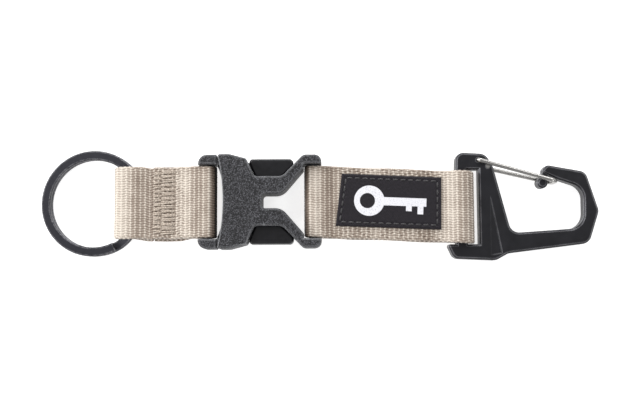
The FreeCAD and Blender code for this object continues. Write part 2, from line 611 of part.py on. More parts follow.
def carabiner_body():
    half = HOOK_THICK / 2
    slot = WEB_HALF + HOOK_SLOT_CLEAR
    bar = HOOK_BAR_WIDTH / 2
    top, foot = slot + HOOK_TOP, -slot - HOOK_FOOT
    s = HOOK_REACH - 37.95
    outline = [
        (-bar, slot, 0), (-1.45, top, 2.2), (6.9, top - 0.4, 3.0), (8.95, 11.2, 2.0),
        (13.75, -7.3, 2.8), (33.95 + s, -5.95, 4.4), (34.1 + s, 5.3, 4.2), (27.5, 7.45, 1.0),
        (22.2, 9.7, 0.9), (24.0, 11.65, 1.2), (34.9 + s, 9.75, 2.6), (38.35 + s, -1.2, 2.6),
        (35.4 + s, -10.2, 3.0), (12.7, -12.95, 3.0), (9.3, foot, 2.5), (-2.4, foot + 0.5, 2.2),
        (-4.2, -slot, 0.6), (-bar, -slot, 0)]
    body = plate(list(reversed(outline)), -half, half)
    body = body.cut(box(bar, SLOT_FAR_WALL, -slot, slot, -half - 1, half + 1))
    body = body.makeChamfer(HOOK_EDGE, edges_at(body, -half, half))
    thin = half - 0.3
    neck = thread_run([BULB, (BULB[0] + 1.3, BULB[1] + 3.5)], NOSE_NECK, -thin, thin)
    bulb = Part.makeCylinder(NOSE_BULB, HOOK_THICK, V(*BULB, -half))
    bulb = bulb.makeChamfer(HOOK_EDGE, edges_at(bulb, -half, half))
    body = fuse(body, neck, bulb)

    # A shallow facet falls away across the foot of the post on both faces.
    left, right, apex = V(7.9, -13.4, half), V(10.95, -12.8, half), V(8.0, 3.0, half)
    for face in (1, -1):
        facet = Part.Face(Part.makePolygon([left, right, apex, left])).extrude(V(0, 0, 2))
        facet.rotate(apex, (left - apex).normalize(), -9.0)
        if face < 0:
            facet = facet.mirror(V(0, 0, 0), V(0, 0, 1))
        body = body.cut(facet)
    hole = WIRE / 2 + WIRE_CLEAR
    for x, y in (HOLE_FRONT, HOLE_BACK):
        body = body.cut(Part.makeCylinder(hole, HOOK_THICK + 2, V(x, y, -half - 1)))
    return body


def wire_gate():
    half = HOOK_THICK / 2
    level = GATE_LEVEL
    points = [(*HOLE_FRONT, -half + 0.5, 0), (*HOLE_FRONT, level, WIRE_HOLE_BEND),
              (*GATE_TIP, level, WIRE_BEND), (*GATE_TIP, -level, WIRE_BEND),
              (*HOLE_BACK, -level, WIRE_HOLE_BEND), (*HOLE_BACK, half - 0.05, 0)]
    path = Part.Wire(rounded_path(points, closed=False))
    circle = Part.Wire(Part.makeCircle(WIRE / 2, V(*HOLE_FRONT, -half + 0.5), Z_AXIS))
    return path.makePipeShell([circle], True, True)


# ---- all the pieces ------------------------------------------------------------
def build():
    tack_front, tack_back = tack_thread(1), tack_thread(-1)
    stitch_front, stitch_back = label_thread(1), label_thread(-1)
    strap = short_strap().cut(tack_front).cut(tack_back)
    long = long_strap().cut(stitch_back)
    patch = label_patch().cut(stitch_front)
    ring = split_ring()
    ring.translate(V(-RING_CENTRE, 0, 0))
    pieces = {
        "female_buckle": female_buckle(),
        "male_buckle": male_buckle(),
        "latch_arm_upper": latch_arm(1),
        "latch_arm_lower": latch_arm(-1),
        "short_strap": place_short(strap),
        "tack_needle_thread": place_short(tack_front),
        "tack_bobbin_thread": place_short(tack_back),
        "ring_loop": place_short(ring_loop()),
        "split_ring": place_short(ring),
        "long_strap": place_long(long),
        "label_patch": place_long(patch),
        "label_mark": place_long(label_mark()),
        "label_needle_thread": place_long(stitch_front),
        "label_bobbin_thread": place_long(stitch_back),
        "carabiner_body": place_hook(carabiner_body()),
        "wire_gate": place_hook(wire_gate()),
    }
    return pieces


def main():
    os.makedirs("parts", exist_ok=True)
    pieces = build()
    whole = Part.makeCompound(list(pieces.values())).optimalBoundingBox(False, False)
    shift = V(-(whole.XMin + whole.XMax) / 2, -(whole.YMin + whole.YMax) / 2, -whole.ZMin)
    for name, shape in pieces.items():
        shape.translate(shift)
        shape.exportStep("parts/%s.step" % name)
        print(name, shape.ShapeType, len(shape.Solids), shape.isValid(), round(shape.Volume, 3))
    print("size", round(whole.XLength, 3), round(whole.YLength, 3), round(whole.ZLength, 3))
    print("shift", tuple(round(v, 4) for v in shift))


main()
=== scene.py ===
"""Studio scene of a webbing key strap: split ring, side release buckle and snap hook.

Every length is in metres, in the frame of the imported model: X runs along the strap from
the ring to the hook, Y across it and Z up.  Soft pieces are surfaces worked out as whole
arrays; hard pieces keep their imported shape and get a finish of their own.
"""

import json
import logging
import math
from dataclasses import dataclass, field
from enum import Enum
from functools import partial
from typing import Any, Callable, Sequence

import bpy
import numpy as np
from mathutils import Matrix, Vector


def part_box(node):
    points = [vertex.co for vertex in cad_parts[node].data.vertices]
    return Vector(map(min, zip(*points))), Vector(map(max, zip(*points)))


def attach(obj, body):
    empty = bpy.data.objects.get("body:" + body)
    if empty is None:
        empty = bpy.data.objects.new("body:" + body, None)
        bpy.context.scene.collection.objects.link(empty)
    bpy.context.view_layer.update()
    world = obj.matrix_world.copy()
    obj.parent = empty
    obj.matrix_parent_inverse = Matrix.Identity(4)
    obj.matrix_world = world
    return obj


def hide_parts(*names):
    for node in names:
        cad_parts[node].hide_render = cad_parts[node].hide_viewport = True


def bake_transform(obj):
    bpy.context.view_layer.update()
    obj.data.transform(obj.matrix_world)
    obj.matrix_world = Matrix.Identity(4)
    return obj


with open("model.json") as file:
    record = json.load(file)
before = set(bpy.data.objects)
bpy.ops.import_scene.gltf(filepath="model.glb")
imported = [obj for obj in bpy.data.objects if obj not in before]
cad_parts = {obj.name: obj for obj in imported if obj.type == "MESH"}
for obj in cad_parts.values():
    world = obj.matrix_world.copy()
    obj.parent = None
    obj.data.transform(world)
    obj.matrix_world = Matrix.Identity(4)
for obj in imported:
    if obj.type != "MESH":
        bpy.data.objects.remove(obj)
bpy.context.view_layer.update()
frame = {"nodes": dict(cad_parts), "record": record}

LOG = logging.getLogger("key_strap")
MM = 0.001
Array = np.ndarray
Colour = tuple[float, float, float]


# ---------------------------------------------------------------- places in the model
def joint(name: str) -> dict[str, Any]:
    """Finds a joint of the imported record.

    Args:
        name: The joint's name.

    Returns:
        The joint's entry in the record.
    """
    return next(j for j in frame["record"]["behaviour"]["joints"] if j["name"] == name)


def joint_place(name: str) -> Array:
    """The point a joint turns about, as three numbers in metres."""
    return np.array(joint(name)["pos_m"], dtype=float)


class Body(str, Enum):
    """The rigid bodies that pieces ride on."""

    SHORT = "short_strap"
    LOOP = "ring_loop"
    LONG = "long_strap"


@dataclass(frozen=True)
class Lean:
    """A level drawing plane tipped about a line along Y.

    Attributes:
        pivot: Point the plane turns about.
        angle: Turn in radians; a positive one lowers the +X side.
        shear: Sideways drift in Y for each metre of X.
    """

    pivot: Array
    angle: float
    shear: float = 0.0

    def place(self, x: Array, y: Array, z: Array) -> Array:
        """Carries points from the level plane into the model.

        The point is sheared sideways by minus shear times x, turned about the pivot's
        line along Y, and moved to the pivot.

        Args:
            x: Distance along the strap from the pivot.
            y: Distance across it.
            z: Height above the pivot.

        Returns:
            An array of points, with the three coordinates last.
        """
        c, s = math.cos(self.angle), math.sin(self.angle)
        return np.stack([self.pivot[0] + x * c + z * s,
                         self.pivot[1] + y - self.shear * x,
                         self.pivot[2] - x * s + z * c], axis=-1)


# ---------------------------------------------------------------- meshes
def make_piece(name: str, points: Array, faces: Array | list[Sequence[int]],
               weave: Array | None = None) -> bpy.types.Object:
    """Makes a smooth shaded object from arrays of points and faces.

    Args:
        name: The piece's name.
        points: Points, one row each.
        faces: Rows of point numbers, or a list of rings of them.
        weave: Along, across and rise of each point, kept as the attribute "weave"; on
            the webbing the rise also carries painted shade and painted sheen.

    Returns:
        The new object, at the origin.
    """
    mesh = bpy.data.meshes.new(name)
    flat = points.reshape(-1, 3)
    if isinstance(faces, np.ndarray):
        size = faces.shape[1]
        mesh.vertices.add(len(flat))
        mesh.vertices.foreach_set("co", flat.astype(np.float32).ravel())
        mesh.loops.add(faces.size)
        mesh.loops.foreach_set("vertex_index", faces.astype(np.int32).ravel())
        mesh.polygons.add(len(faces))
        mesh.polygons.foreach_set("loop_start", np.arange(0, faces.size, size, dtype=np.int32))
    else:
        mesh.from_pydata(flat.tolist(), [], [list(f) for f in faces])
    mesh.update(calc_edges=True)
    mesh.validate()
    if weave is not None:
        layer = mesh.attributes.new("weave", "FLOAT_VECTOR", "POINT")
        layer.data.foreach_set("vector", weave.reshape(-1, 3).astype(np.float32).ravel())
    mesh.polygons.foreach_set("use_smooth", np.ones(len(mesh.polygons), dtype=bool))
    piece = bpy.data.objects.new(name, mesh)
    bpy.context.scene.collection.objects.link(piece)
    return piece


def tube_faces(rows: int, around: int) -> Array:
    """Four-sided faces of a closed tube of rings of points, its ends left open.

    Args:
        rows: Number of rings.
        around: Points in each ring.

    Returns:
        Faces, one row of four point numbers each.
    """
    i = np.arange(rows - 1)[:, None] * around
    j = np.arange(around)[None, :]
    k = (j + 1) % around
    return np.stack([i + j, i + k, i + around + k, i + around + j], axis=-1).reshape(-1, 4)


def capped_tube(name: str, rings: Array, weave: Array | None = None) -> bpy.types.Object:
    """A closed tube from rings of points; each end is drawn to a point at its middle.

    Args:
        name: The piece's name.
        rings: Points as rows of rings.
        weave: Along, across and rise of each point; on the webbing the rise also carries
            painted shade and painted sheen.

    Returns:
        The new object.
    """
    rows, around = rings.shape[:2]
    ends = [rings[0].mean(axis=0), rings[-1].mean(axis=0)]
    points = np.concatenate([rings.reshape(-1, 3), ends])
    if weave is not None:
        weave = np.concatenate([weave.reshape(-1, 3), weave[0].mean(axis=0)[None],
                                weave[-1].mean(axis=0)[None]])
    j = np.arange(around)
    k = (j + 1) % around
    first, base = np.full(around, rows * around), (rows - 1) * around
    near = np.stack([k, j, first], axis=-1)
    far = np.stack([base + j, base + k, first + 1], axis=-1)
    faces = tube_faces(rows, around).tolist() + near.tolist() + far.tolist()
    return make_piece(name, points, faces, weave)


# ---------------------------------------------------------------- routes
class Shape(Enum):
    """The two shapes a stretch of a route can have."""

    RUN = "run"
    ARC = "arc"


@dataclass(frozen=True)
class Stretch:
    """One stretch of a route.

    Attributes:
        shape: Straight run or arc.
        origin: Where a run starts, or an arc's centre.
        point: Where a run ends, or an arc starts.
        turn: Angle an arc turns through, positive to the left.
        length: Length of the stretch.
    """

    shape: Shape
    origin: Array
    point: Array
    turn: float
    length: float


class Route:
    """A flat line of straight runs whose corners are rounded into arcs."""

    SHORTEST = 1e-7

    def __init__(self, corners: Sequence[tuple[float, float, float]]) -> None:
        """Works out the runs and arcs.

        Args:
            corners: Corners as x, z and the radius of their rounding.
        """
        points = np.array([c[:2] for c in corners], dtype=float)
        self.parts: list[Stretch] = []
        here = points[0]
        for i in range(1, len(points)):
            radius = corners[i][2] if i < len(points) - 1 else 0.0
            inward = points[i] - here
            inward = inward / np.linalg.norm(inward)
            if radius <= 0:
                self._run(here, points[i])
                here = points[i]
                continue
            onward = points[i + 1] - points[i]
            onward = onward / np.linalg.norm(onward)
            turn = math.atan2(inward[0] * onward[1] - inward[1] * onward[0], float(inward @ onward))
            reach = radius * math.tan(abs(turn) / 2)
            start = points[i] - inward * reach
            self._run(here, start)
            side = np.array([-inward[1], inward[0]]) * math.copysign(1, turn)
            arc = Stretch(Shape.ARC, start + side * radius, start, turn, abs(turn) * radius)
            self.parts.append(arc)
            here = points[i] + onward * reach
        self.starts = np.concatenate([[0.0], np.cumsum([part.length for part in self.parts])])
        self.length = float(self.starts[-1])

    def _run(self, a: Array, b: Array) -> None:
        """Adds a straight run unless it has no length.

        Args:
            a: Where it starts.
            b: Where it ends.
        """
        length = float(np.linalg.norm(b - a))
        if length > self.SHORTEST:
            self.parts.append(Stretch(Shape.RUN, a, b, 0.0, length))

    def arc_ends(self, longer: float) -> list[float]:
        """Distances along the route where its arcs longer than a length end."""
        return [float(start + part.length) for start, part in zip(self.starts, self.parts)
                if part.shape is Shape.ARC and part.length > longer]

    def at(self, distance: Array) -> tuple[Array, Array]:
        """Points and directions at distances along the route.

        On a run the point moves evenly from one end to the other; on an arc it turns
        about the arc's centre by the share of the arc's angle that it has covered.

        Args:
            distance: Distances from the start.

        Returns:
            Points and unit directions, one row each.
        """
        points = np.zeros((len(distance), 2))
        ways = np.zeros((len(distance), 2))
        which = np.searchsorted(self.starts, distance, side="right") - 1
        which = np.clip(which, 0, len(self.parts) - 1)
        for number, part in enumerate(self.parts):
            mine = which == number
            share = ((distance[mine] - self.starts[number]) / part.length)[:, None]
            arm = part.point - part.origin
            if part.shape is Shape.RUN:
                points[mine] = part.origin + arm * share
                ways[mine] = arm / part.length
            else:
                angle = part.turn * share[:, 0]
                c, s = np.cos(angle), np.sin(angle)
                spoke = np.stack([arm[0] * c - arm[1] * s, arm[0] * s + arm[1] * c], axis=-1)
                onward = np.stack([-spoke[:, 1], spoke[:, 0]], axis=-1)
                points[mine] = part.origin + spoke
                ways[mine] = onward * math.copysign(1, part.turn)
        ways /= np.maximum(np.linalg.norm(ways, axis=1, keepdims=True), 1e-12)
        return points, ways


def bar_corner(point: tuple[float, float], centre: tuple[float, float], radius: float,
               side: int, above: bool) -> tuple[float, float, float]:
    """Corner where the tangent from a point to a bar meets the bar's outer wall.

    Args:
        point: Where the webbing comes from, as x and z.
        centre: The bar's middle.
        radius: Radius of the webbing's middle line round the bar.
        side: +1 round the bar's +X side, -1 round its -X side.
        above: Whether the webbing touches the bar's upper half.

    Returns:
        The corner as x, z and radius.

    Raises:
        ValueError: If no tangent touches the half of the bar that is asked for.
    """
    dx, dz = point[0] - centre[0], point[1] - centre[1]
    swing = math.acos(radius / math.hypot(dx, dz))
    wall = centre[0] + side * radius
    for touch in (math.atan2(dz, dx) + swing, math.atan2(dz, dx) - swing):
        if (math.sin(touch) > 0) == above:
            tx = centre[0] + radius * math.cos(touch)
            tz = centre[1] + radius * math.sin(touch)
            return wall, point[1] + (tz - point[1]) / (tx - point[0]) * (wall - point[0]), radius
    raise ValueError("no tangent")


# ---------------------------------------------------------------- node graphs
class Graph:
    """A material's node graph, with short calls for the nodes these finishes use."""

    FLAT_SHARE = 18.0  # turns this many times smaller than a whole edge's are flat

    def __init__(self, name: str) -> None:
        """Starts a material with one shader and its output.

        Args:
            name: The material's name.
        """
        self.material = bpy.data.materials.new(name)
        self.material.use_nodes = True
        self.tree = self.material.node_tree
        self.tree.nodes.clear()
        self.shader = self.node("ShaderNodeBsdfPrincipled")
        out = self.node("ShaderNodeOutputMaterial")
        self.link(self.shader.outputs[0], out.inputs[0])

    def node(self, kind: str, **settings: Any) -> bpy.types.Node:
        """Adds a node.

        Args:
            kind: Blender's name for the node.
            **settings: Its properties, and its inputs by number or name after "in_".

        Returns:
            The new node.
        """
        made = self.tree.nodes.new(kind)
        for key, value in settings.items():
            if key.startswith("in_"):
                name = key[3:]
                made.inputs[int(name) if name.isdigit() else name].default_value = value
            else:
                setattr(made, key, value)
        return made

    def link(self, source: bpy.types.NodeSocket, target: bpy.types.NodeSocket) -> None:
        """Joins two sockets."""
        self.tree.links.new(source, target)

    def set(self, **values: Any) -> None:
        """Sets constants on the shader's own sockets; underscores stand for spaces."""
        for key, value in values.items():
            self.shader.inputs[key.replace("_", " ")].default_value = value

    def place(self) -> bpy.types.NodeSocket:
        """Object coordinates, in metres."""
        return self.node("ShaderNodeTexCoord").outputs["Object"]

    def noise(self, vector: bpy.types.NodeSocket, scale: float, detail: float = 2.0,
              stretch: tuple[float, float, float] = (1, 1, 1)) -> bpy.types.NodeSocket:
        """Cloudy noise.

        Args:
            vector: Where it is read.
            scale: Clouds per metre.
            detail: How many finer layers it has.
            stretch: Factors along the three directions.

        Returns:
            The value socket, from 0 to 1.
        """
        mapping = self.node("ShaderNodeMapping")
        mapping.inputs["Scale"].default_value = stretch
        self.link(vector, mapping.inputs[0])
        made = self.node("ShaderNodeTexNoise", in_Scale=scale, in_Detail=detail)
        self.link(mapping.outputs[0], made.inputs["Vector"])
        return made.outputs[0]

    def cells(self, vector: bpy.types.NodeSocket, scale: float) -> bpy.types.NodeSocket:
        """Distance to the nearest of many scattered points.

        Args:
            vector: Where it is read.
            scale: Points per metre.

        Returns:
            The value socket, from 0 at a point.
        """
        made = self.node("ShaderNodeTexVoronoi", feature="SMOOTH_F1", in_Scale=scale)
        self.link(vector, made.inputs["Vector"])
        return made.outputs["Distance"]

    def ramp(self, value: bpy.types.NodeSocket,
             *stops: tuple[float, Colour]) -> bpy.types.NodeSocket:
        """Turns a value into a colour.

        Args:
            value: The value.
            *stops: Positions and the colours there, in rising order.

        Returns:
            The colour socket.
        """
        made = self.node("ShaderNodeValToRGB")
        band = made.color_ramp
        while len(band.elements) < len(stops):
            band.elements.new(0.5)
        for element, (position, colour) in zip(band.elements, stops):
            element.position = position
            element.color = (*colour, 1.0)
        self.link(value, made.inputs[0])
        return made.outputs[0]

    def spread(self, value: bpy.types.NodeSocket, low: float, high: float, to_low: float,
               to_high: float) -> bpy.types.NodeSocket:
        """Maps a value from one range to another, held at its ends.

        Args:
            value: The value.
            low: Start of its range.
            high: End of its range.
            to_low: What the start becomes.
            to_high: What the end becomes.

        Returns:
            The value socket.
        """
        made = self.node("ShaderNodeMapRange", in_1=low, in_2=high, in_3=to_low, in_4=to_high)
        self.link(value, made.inputs[0])
        return made.outputs[0]

    def sum(self, kind: str, a: bpy.types.NodeSocket,
            b: bpy.types.NodeSocket | float) -> bpy.types.NodeSocket:
        """Works out two values together.

        Args:
            kind: What is done, such as ADD or MULTIPLY.
            a: One value.
            b: The other, or a number.

        Returns:
            The value socket.
        """
        made = self.node("ShaderNodeMath", operation=kind)
        self.link(a, made.inputs[0])
        if isinstance(b, float):
            made.inputs[1].default_value = b
        else:
            self.link(b, made.inputs[1])
        return made.outputs[0]

    def blend(self, share: bpy.types.NodeSocket, a: Any, b: Any) -> bpy.types.NodeSocket:
        """Mixes two colours.

        Args:
            share: How much of the second there is.
            a: The first, a socket or a colour.
            b: The second, a socket or a colour.

        Returns:
            The colour socket.
        """
        made = self.node("ShaderNodeMix", data_type="RGBA")
        self.link(share, made.inputs["Factor"])
        for socket, value in ((made.inputs[6], a), (made.inputs[7], b)):
            if isinstance(value, tuple):
                socket.default_value = (*value, 1.0)
            else:
                self.link(value, socket)
        return made.outputs[2]

    def edges(self, radius: float, full: float = 0.93) -> bpy.types.NodeSocket:
        """How near a point is to an edge, from 0 on flats to 1 on edges.

        Args:
            radius: How far from an edge it starts.
            full: Cosine of the turn that counts as a whole edge.

        Returns:
            The value socket.
        """
        soft = self.node("ShaderNodeBevel", samples=6, in_Radius=radius)
        plain = self.node("ShaderNodeNewGeometry")
        dot = self.node("ShaderNodeVectorMath", operation="DOT_PRODUCT")
        self.link(soft.outputs[0], dot.inputs[0])
        self.link(plain.outputs["Normal"], dot.inputs[1])
        flat = 1.0 - (1.0 - full) / self.FLAT_SHARE
        return self.spread(dot.outputs["Value"], flat, full, 0.0, 1.0)

    def bump(self, height: bpy.types.NodeSocket, depth: float, strength: float = 1.0) -> None:
        """Raises the surface, as far as shading goes.

        Args:
            height: Height from 0 to 1.
            depth: What a height of 1 stands for, in metres.
            strength: How much of it shows.
        """
        made = self.node("ShaderNodeBump", in_Strength=strength, in_Distance=depth)
        self.link(height, made.inputs["Height"])
        self.link(made.outputs[0], self.shader.inputs["Normal"])

    def colour(self, socket: bpy.types.NodeSocket) -> None:
        """Feeds the base colour."""
        self.link(socket, self.shader.inputs["Base Color"])

    def roughness(self, socket: bpy.types.NodeSocket) -> None:
        """Feeds the roughness."""
        self.link(socket, self.shader.inputs["Roughness"])


# ---------------------------------------------------------------- finishes
@dataclass(frozen=True)
class WebbingFinish:
    """Woven nylon: fine filaments along each yarn, with painted shade down between the yarns and a
    painted highlight on their crowns.
    """

    name: str = "nylon_webbing"
    painted_hollow_shade: Colour = (0.022, 0.014, 0.010)
    deep: Colour = (0.150, 0.110, 0.082)
    body: Colour = (0.290, 0.230, 0.185)
    crown: Colour = (0.720, 0.645, 0.560)

    def build(self) -> bpy.types.Material:
        """Makes the material.

        Colour climbs with the rise of the weave, from painted shade in the hollows to a
        painted highlight on the crowns, with slow patches of tone; filaments are noise
        stretched a dozen times along the yarn.

        Returns:
            The material.
        """
        g = Graph(self.name)
        weave = g.node("ShaderNodeAttribute", attribute_name="weave")
        parts = g.node("ShaderNodeSeparateXYZ")
        g.link(weave.outputs["Vector"], parts.inputs[0])
        fibre = g.noise(weave.outputs["Vector"], 9000.0, 2.0, (0.12, 1.0, 0.0))
        patch = g.noise(weave.outputs["Vector"], 260.0, 2.0, (1.0, 1.0, 0.0))
        rise = g.sum("ADD", parts.outputs[2], g.spread(fibre, 0.3, 0.7, -0.10, 0.10))
        rise = g.sum("ADD", rise, g.spread(patch, 0.3, 0.7, -0.06, 0.06))
        band = g.noise(weave.outputs["Vector"], 150.0, 1.0, (1.0, 0.05, 0.0))
        rise = g.sum("ADD", rise, g.spread(band, 0.35, 0.65, -0.10, 0.10))
        # painted shade in the hollows between the yarns, painted highlight on their crowns
        g.colour(g.ramp(g.spread(rise, -0.6, 1.0, 0.0, 1.0), (0.05, self.painted_hollow_shade), (0.50, self.deep),
                        (0.70, self.body), (0.95, self.crown)))
        g.roughness(g.spread(rise, 0.0, 1.0, 0.75, 0.46))
        g.bump(fibre, 0.00003, 0.5)
        g.set(Sheen_Weight=0.35, Sheen_Roughness=0.4, Specular_IOR_Level=0.45)
        return g.material


@dataclass(frozen=True)
class ThreadFinish:
    """Twisted sewing thread."""

    name: str
    dark: Colour
    light: Colour

    def build(self) -> bpy.types.Material:
        """Makes the material: noise in slanting strands, with a soft sheen.

        Returns:
            The material.
        """
        g = Graph(self.name)
        strands = g.noise(g.place(), 5200.0, 1.0, (0.5, 1.0, 1.0))
        g.colour(g.ramp(strands, (0.35, self.dark), (0.65, self.light)))
        g.bump(strands, 0.00004, 0.5)
        g.set(Roughness=0.5, Sheen_Weight=0.3)
        return g.material


@dataclass(frozen=True)
class PebbledPlastic:
    """Moulded acetal with a fine pebbled grain, painted lighter along its edges as a highlight."""

    name: str = "pebbled_buckle_plastic"
    base: Colour = (0.0040, 0.0040, 0.0055)
    speck: Colour = (0.105, 0.105, 0.118)
    edge: Colour = (0.330, 0.335, 0.350)

    def build(self) -> bpy.types.Material:
        """Makes the material.

        Grain is two sizes of scattered cells; their tops are a little lighter, and a
        painted highlight turns the colour lighter still near outer edges.

        Returns:
            The material.
        """
        g = Graph(self.name)
        place = g.place()
        coarse = g.cells(place, 3000.0)
        fine = g.noise(place, 7600.0, 2.0)
        grain = g.sum("ADD", coarse, g.spread(fine, 0.3, 0.7, -0.25, 0.25))
        tone = g.ramp(grain, (0.12, self.speck), (0.46, self.base))
        # painted highlight: lighter colour along the edges
        edge_highlight = g.sum("MULTIPLY", g.edges(0.0006, 0.965), g.spread(fine, 0.35, 0.65, 0.45, 1.0))
        g.colour(g.blend(edge_highlight, tone, self.edge))
        g.roughness(g.spread(fine, 0.3, 0.7, 0.50, 0.64))
        g.bump(grain, 0.00010, 0.8)
        g.set(Specular_IOR_Level=0.42)
        return g.material


@dataclass(frozen=True)
class SmoothPlastic:
    """Smooth satin plastic of the thumb pads."""

    name: str = "satin_pad_plastic"
    base: Colour = (0.0050, 0.0048, 0.0062)
    edge: Colour = (0.16, 0.16, 0.17)

    def build(self) -> bpy.types.Material:
        """Makes the material: near black, with faint handling marks in its gloss and a painted
        highlight along its edges.

        Returns:
            The material.
        """
        g = Graph(self.name)
        place = g.place()
        marks = g.noise(place, 900.0, 4.0)
        # painted highlight: lighter colour along the edges
        edge_highlight = g.sum("MULTIPLY", g.edges(0.0007), 0.35)
        tone = g.ramp(marks, (0.3, self.base), (0.7, tuple(c * 1.5 for c in self.base)))
        g.colour(g.blend(edge_highlight, tone, self.edge))
        g.roughness(g.spread(marks, 0.3, 0.7, 0.28, 0.42))
        g.bump(g.noise(place, 5200.0, 2.0), 0.00001, 0.3)
        g.set(Specular_IOR_Level=0.42)
        return g.material


@dataclass(frozen=True)
class CoatedSteel:
    """Dark slate coating on a flattened steel wire, painted bright along its edges as a highlight.
    """

    name: str = "slate_coated_steel"
    base: Colour = (0.030, 0.030, 0.037)
    painted_highlight: Colour = (0.42, 0.42, 0.44)

    def build(self) -> bpy.types.Material:
        """Makes the material: part metallic, with drawn streaks and edges painted bright as a
        highlight.

        Returns:
            The material.
        """
        g = Graph(self.name)
        place = g.place()
        streak = g.noise(place, 1500.0, 3.0)
        speck = g.noise(place, 6500.0, 2.0)
        # painted highlight: lighter colour along the edges
        edge_highlight = g.sum("MULTIPLY", g.edges(0.0005), g.spread(streak, 0.35, 0.7, 0.1, 0.8))
        tone = g.ramp(speck, (0.3, self.base), (0.75, tuple(c * 1.35 for c in self.base)))
        g.colour(g.blend(edge_highlight, tone, self.painted_highlight))
        g.roughness(g.spread(streak, 0.3, 0.7, 0.34, 0.48))
        g.bump(speck, 0.00001, 0.35)
        g.set(Metallic=0.65)
        return g.material


@dataclass(frozen=True)
class AnodisedAluminium:
    """Bead-blasted aluminium, anodised black, with edges painted paler as a highlight."""

    name: str = "black_anodised_aluminium"
    base: Colour = (0.014, 0.014, 0.017)
    edge: Colour = (0.20, 0.20, 0.215)

    def build(self) -> bpy.types.Material:
        """Makes the material: a fine blasted grain under a satin coat.

        Returns:
            The material.
        """
        g = Graph(self.name)
        place = g.place()
        blast = g.noise(place, 9000.0, 3.0)
        cloud = g.noise(place, 300.0, 2.0)
        tone = g.ramp(cloud, (0.3, self.base), (0.7, tuple(c * 1.5 for c in self.base)))
        # painted highlight: paler colour along the edges
        edge_highlight = g.sum("MULTIPLY", g.edges(0.0004, 0.985), g.spread(cloud, 0.3, 0.7, 0.35, 1.0))
        g.colour(g.blend(edge_highlight, tone, self.edge))
        g.roughness(g.spread(blast, 0.3, 0.7, 0.34, 0.48))
        g.bump(blast, 0.000015, 0.5)
        g.set(Metallic=0.55, Specular_IOR_Level=0.6)
        return g.material


@dataclass(frozen=True)
class StainlessWire:
    """Bright drawn stainless wire."""

    name: str = "bright_stainless_wire"
    base: Colour = (0.50, 0.49, 0.475)

    def build(self) -> bpy.types.Material:
        """Makes the material: full metal with fine drawing lines along X.

        Returns:
            The material.
        """
        g = Graph(self.name)
        lines = g.noise(g.place(), 5200.0, 2.0, (0.08, 1.0, 1.0))
        g.colour(g.ramp(lines, (0.3, tuple(c * 0.8 for c in self.base)), (0.7, self.base)))
        g.roughness(g.spread(lines, 0.3, 0.7, 0.16, 0.30))
        g.bump(lines, 0.000008, 0.4)
        g.set(Metallic=1.0)
        return g.material


@dataclass(frozen=True)
class LabelCloth:
    """Close dark cloth of the label, with a faint twill."""

    name: str = "label_cloth"
    base: Colour = (0.0045, 0.0038, 0.0052)
    light: Colour = (0.036, 0.030, 0.040)

    def build(self) -> bpy.types.Material:
        """Makes the material: crossing fine threads read from the piece's own weave.

        Returns:
            The material.
        """
        g = Graph(self.name)
        weave = g.node("ShaderNodeAttribute", attribute_name="weave")
        warp = g.noise(weave.outputs["Vector"], 5200.0, 1.0, (1.0, 0.35, 0.0))
        weft = g.noise(weave.outputs["Vector"], 5200.0, 1.0, (0.35, 1.0, 0.0))
        twill = g.node("ShaderNodeTexWave", in_Scale=900.0, in_Distortion=0.6)
        turn = g.node("ShaderNodeMapping")
        turn.inputs["Rotation"].default_value = (0, 0, 0.9)
        g.link(weave.outputs["Vector"], turn.inputs[0])
        g.link(turn.outputs[0], twill.inputs["Vector"])
        slant = g.sum("MULTIPLY", twill.outputs["Fac"], 0.35)
        cloth = g.sum("ADD", g.sum("MULTIPLY", warp, weft), slant)
        g.colour(g.ramp(cloth, (0.25, self.base), (0.85, self.light)))
        g.roughness(g.spread(cloth, 0.2, 0.8, 0.9, 0.68))
        g.bump(cloth, 0.00007, 0.7)
        g.set(Sheen_Weight=0.08, Specular_IOR_Level=0.3)
        return g.material


@dataclass(frozen=True)
class PrintInk:
    """White print, a little thin where the cloth's threads stand up."""

    name: str = "white_print"
    thin: Colour = (0.52, 0.51, 0.56)
    full: Colour = (0.83, 0.83, 0.87)

    def build(self) -> bpy.types.Material:
        """Makes the material: white with a speckle of cloth grain.

        Returns:
            The material.
        """
        g = Graph(self.name)
        grain = g.noise(g.place(), 4200.0, 2.0)
        g.colour(g.ramp(grain, (0.30, self.thin), (0.48, self.full)))
        g.bump(grain, 0.00003, 0.5)
        g.set(Roughness=0.7)
        return g.material


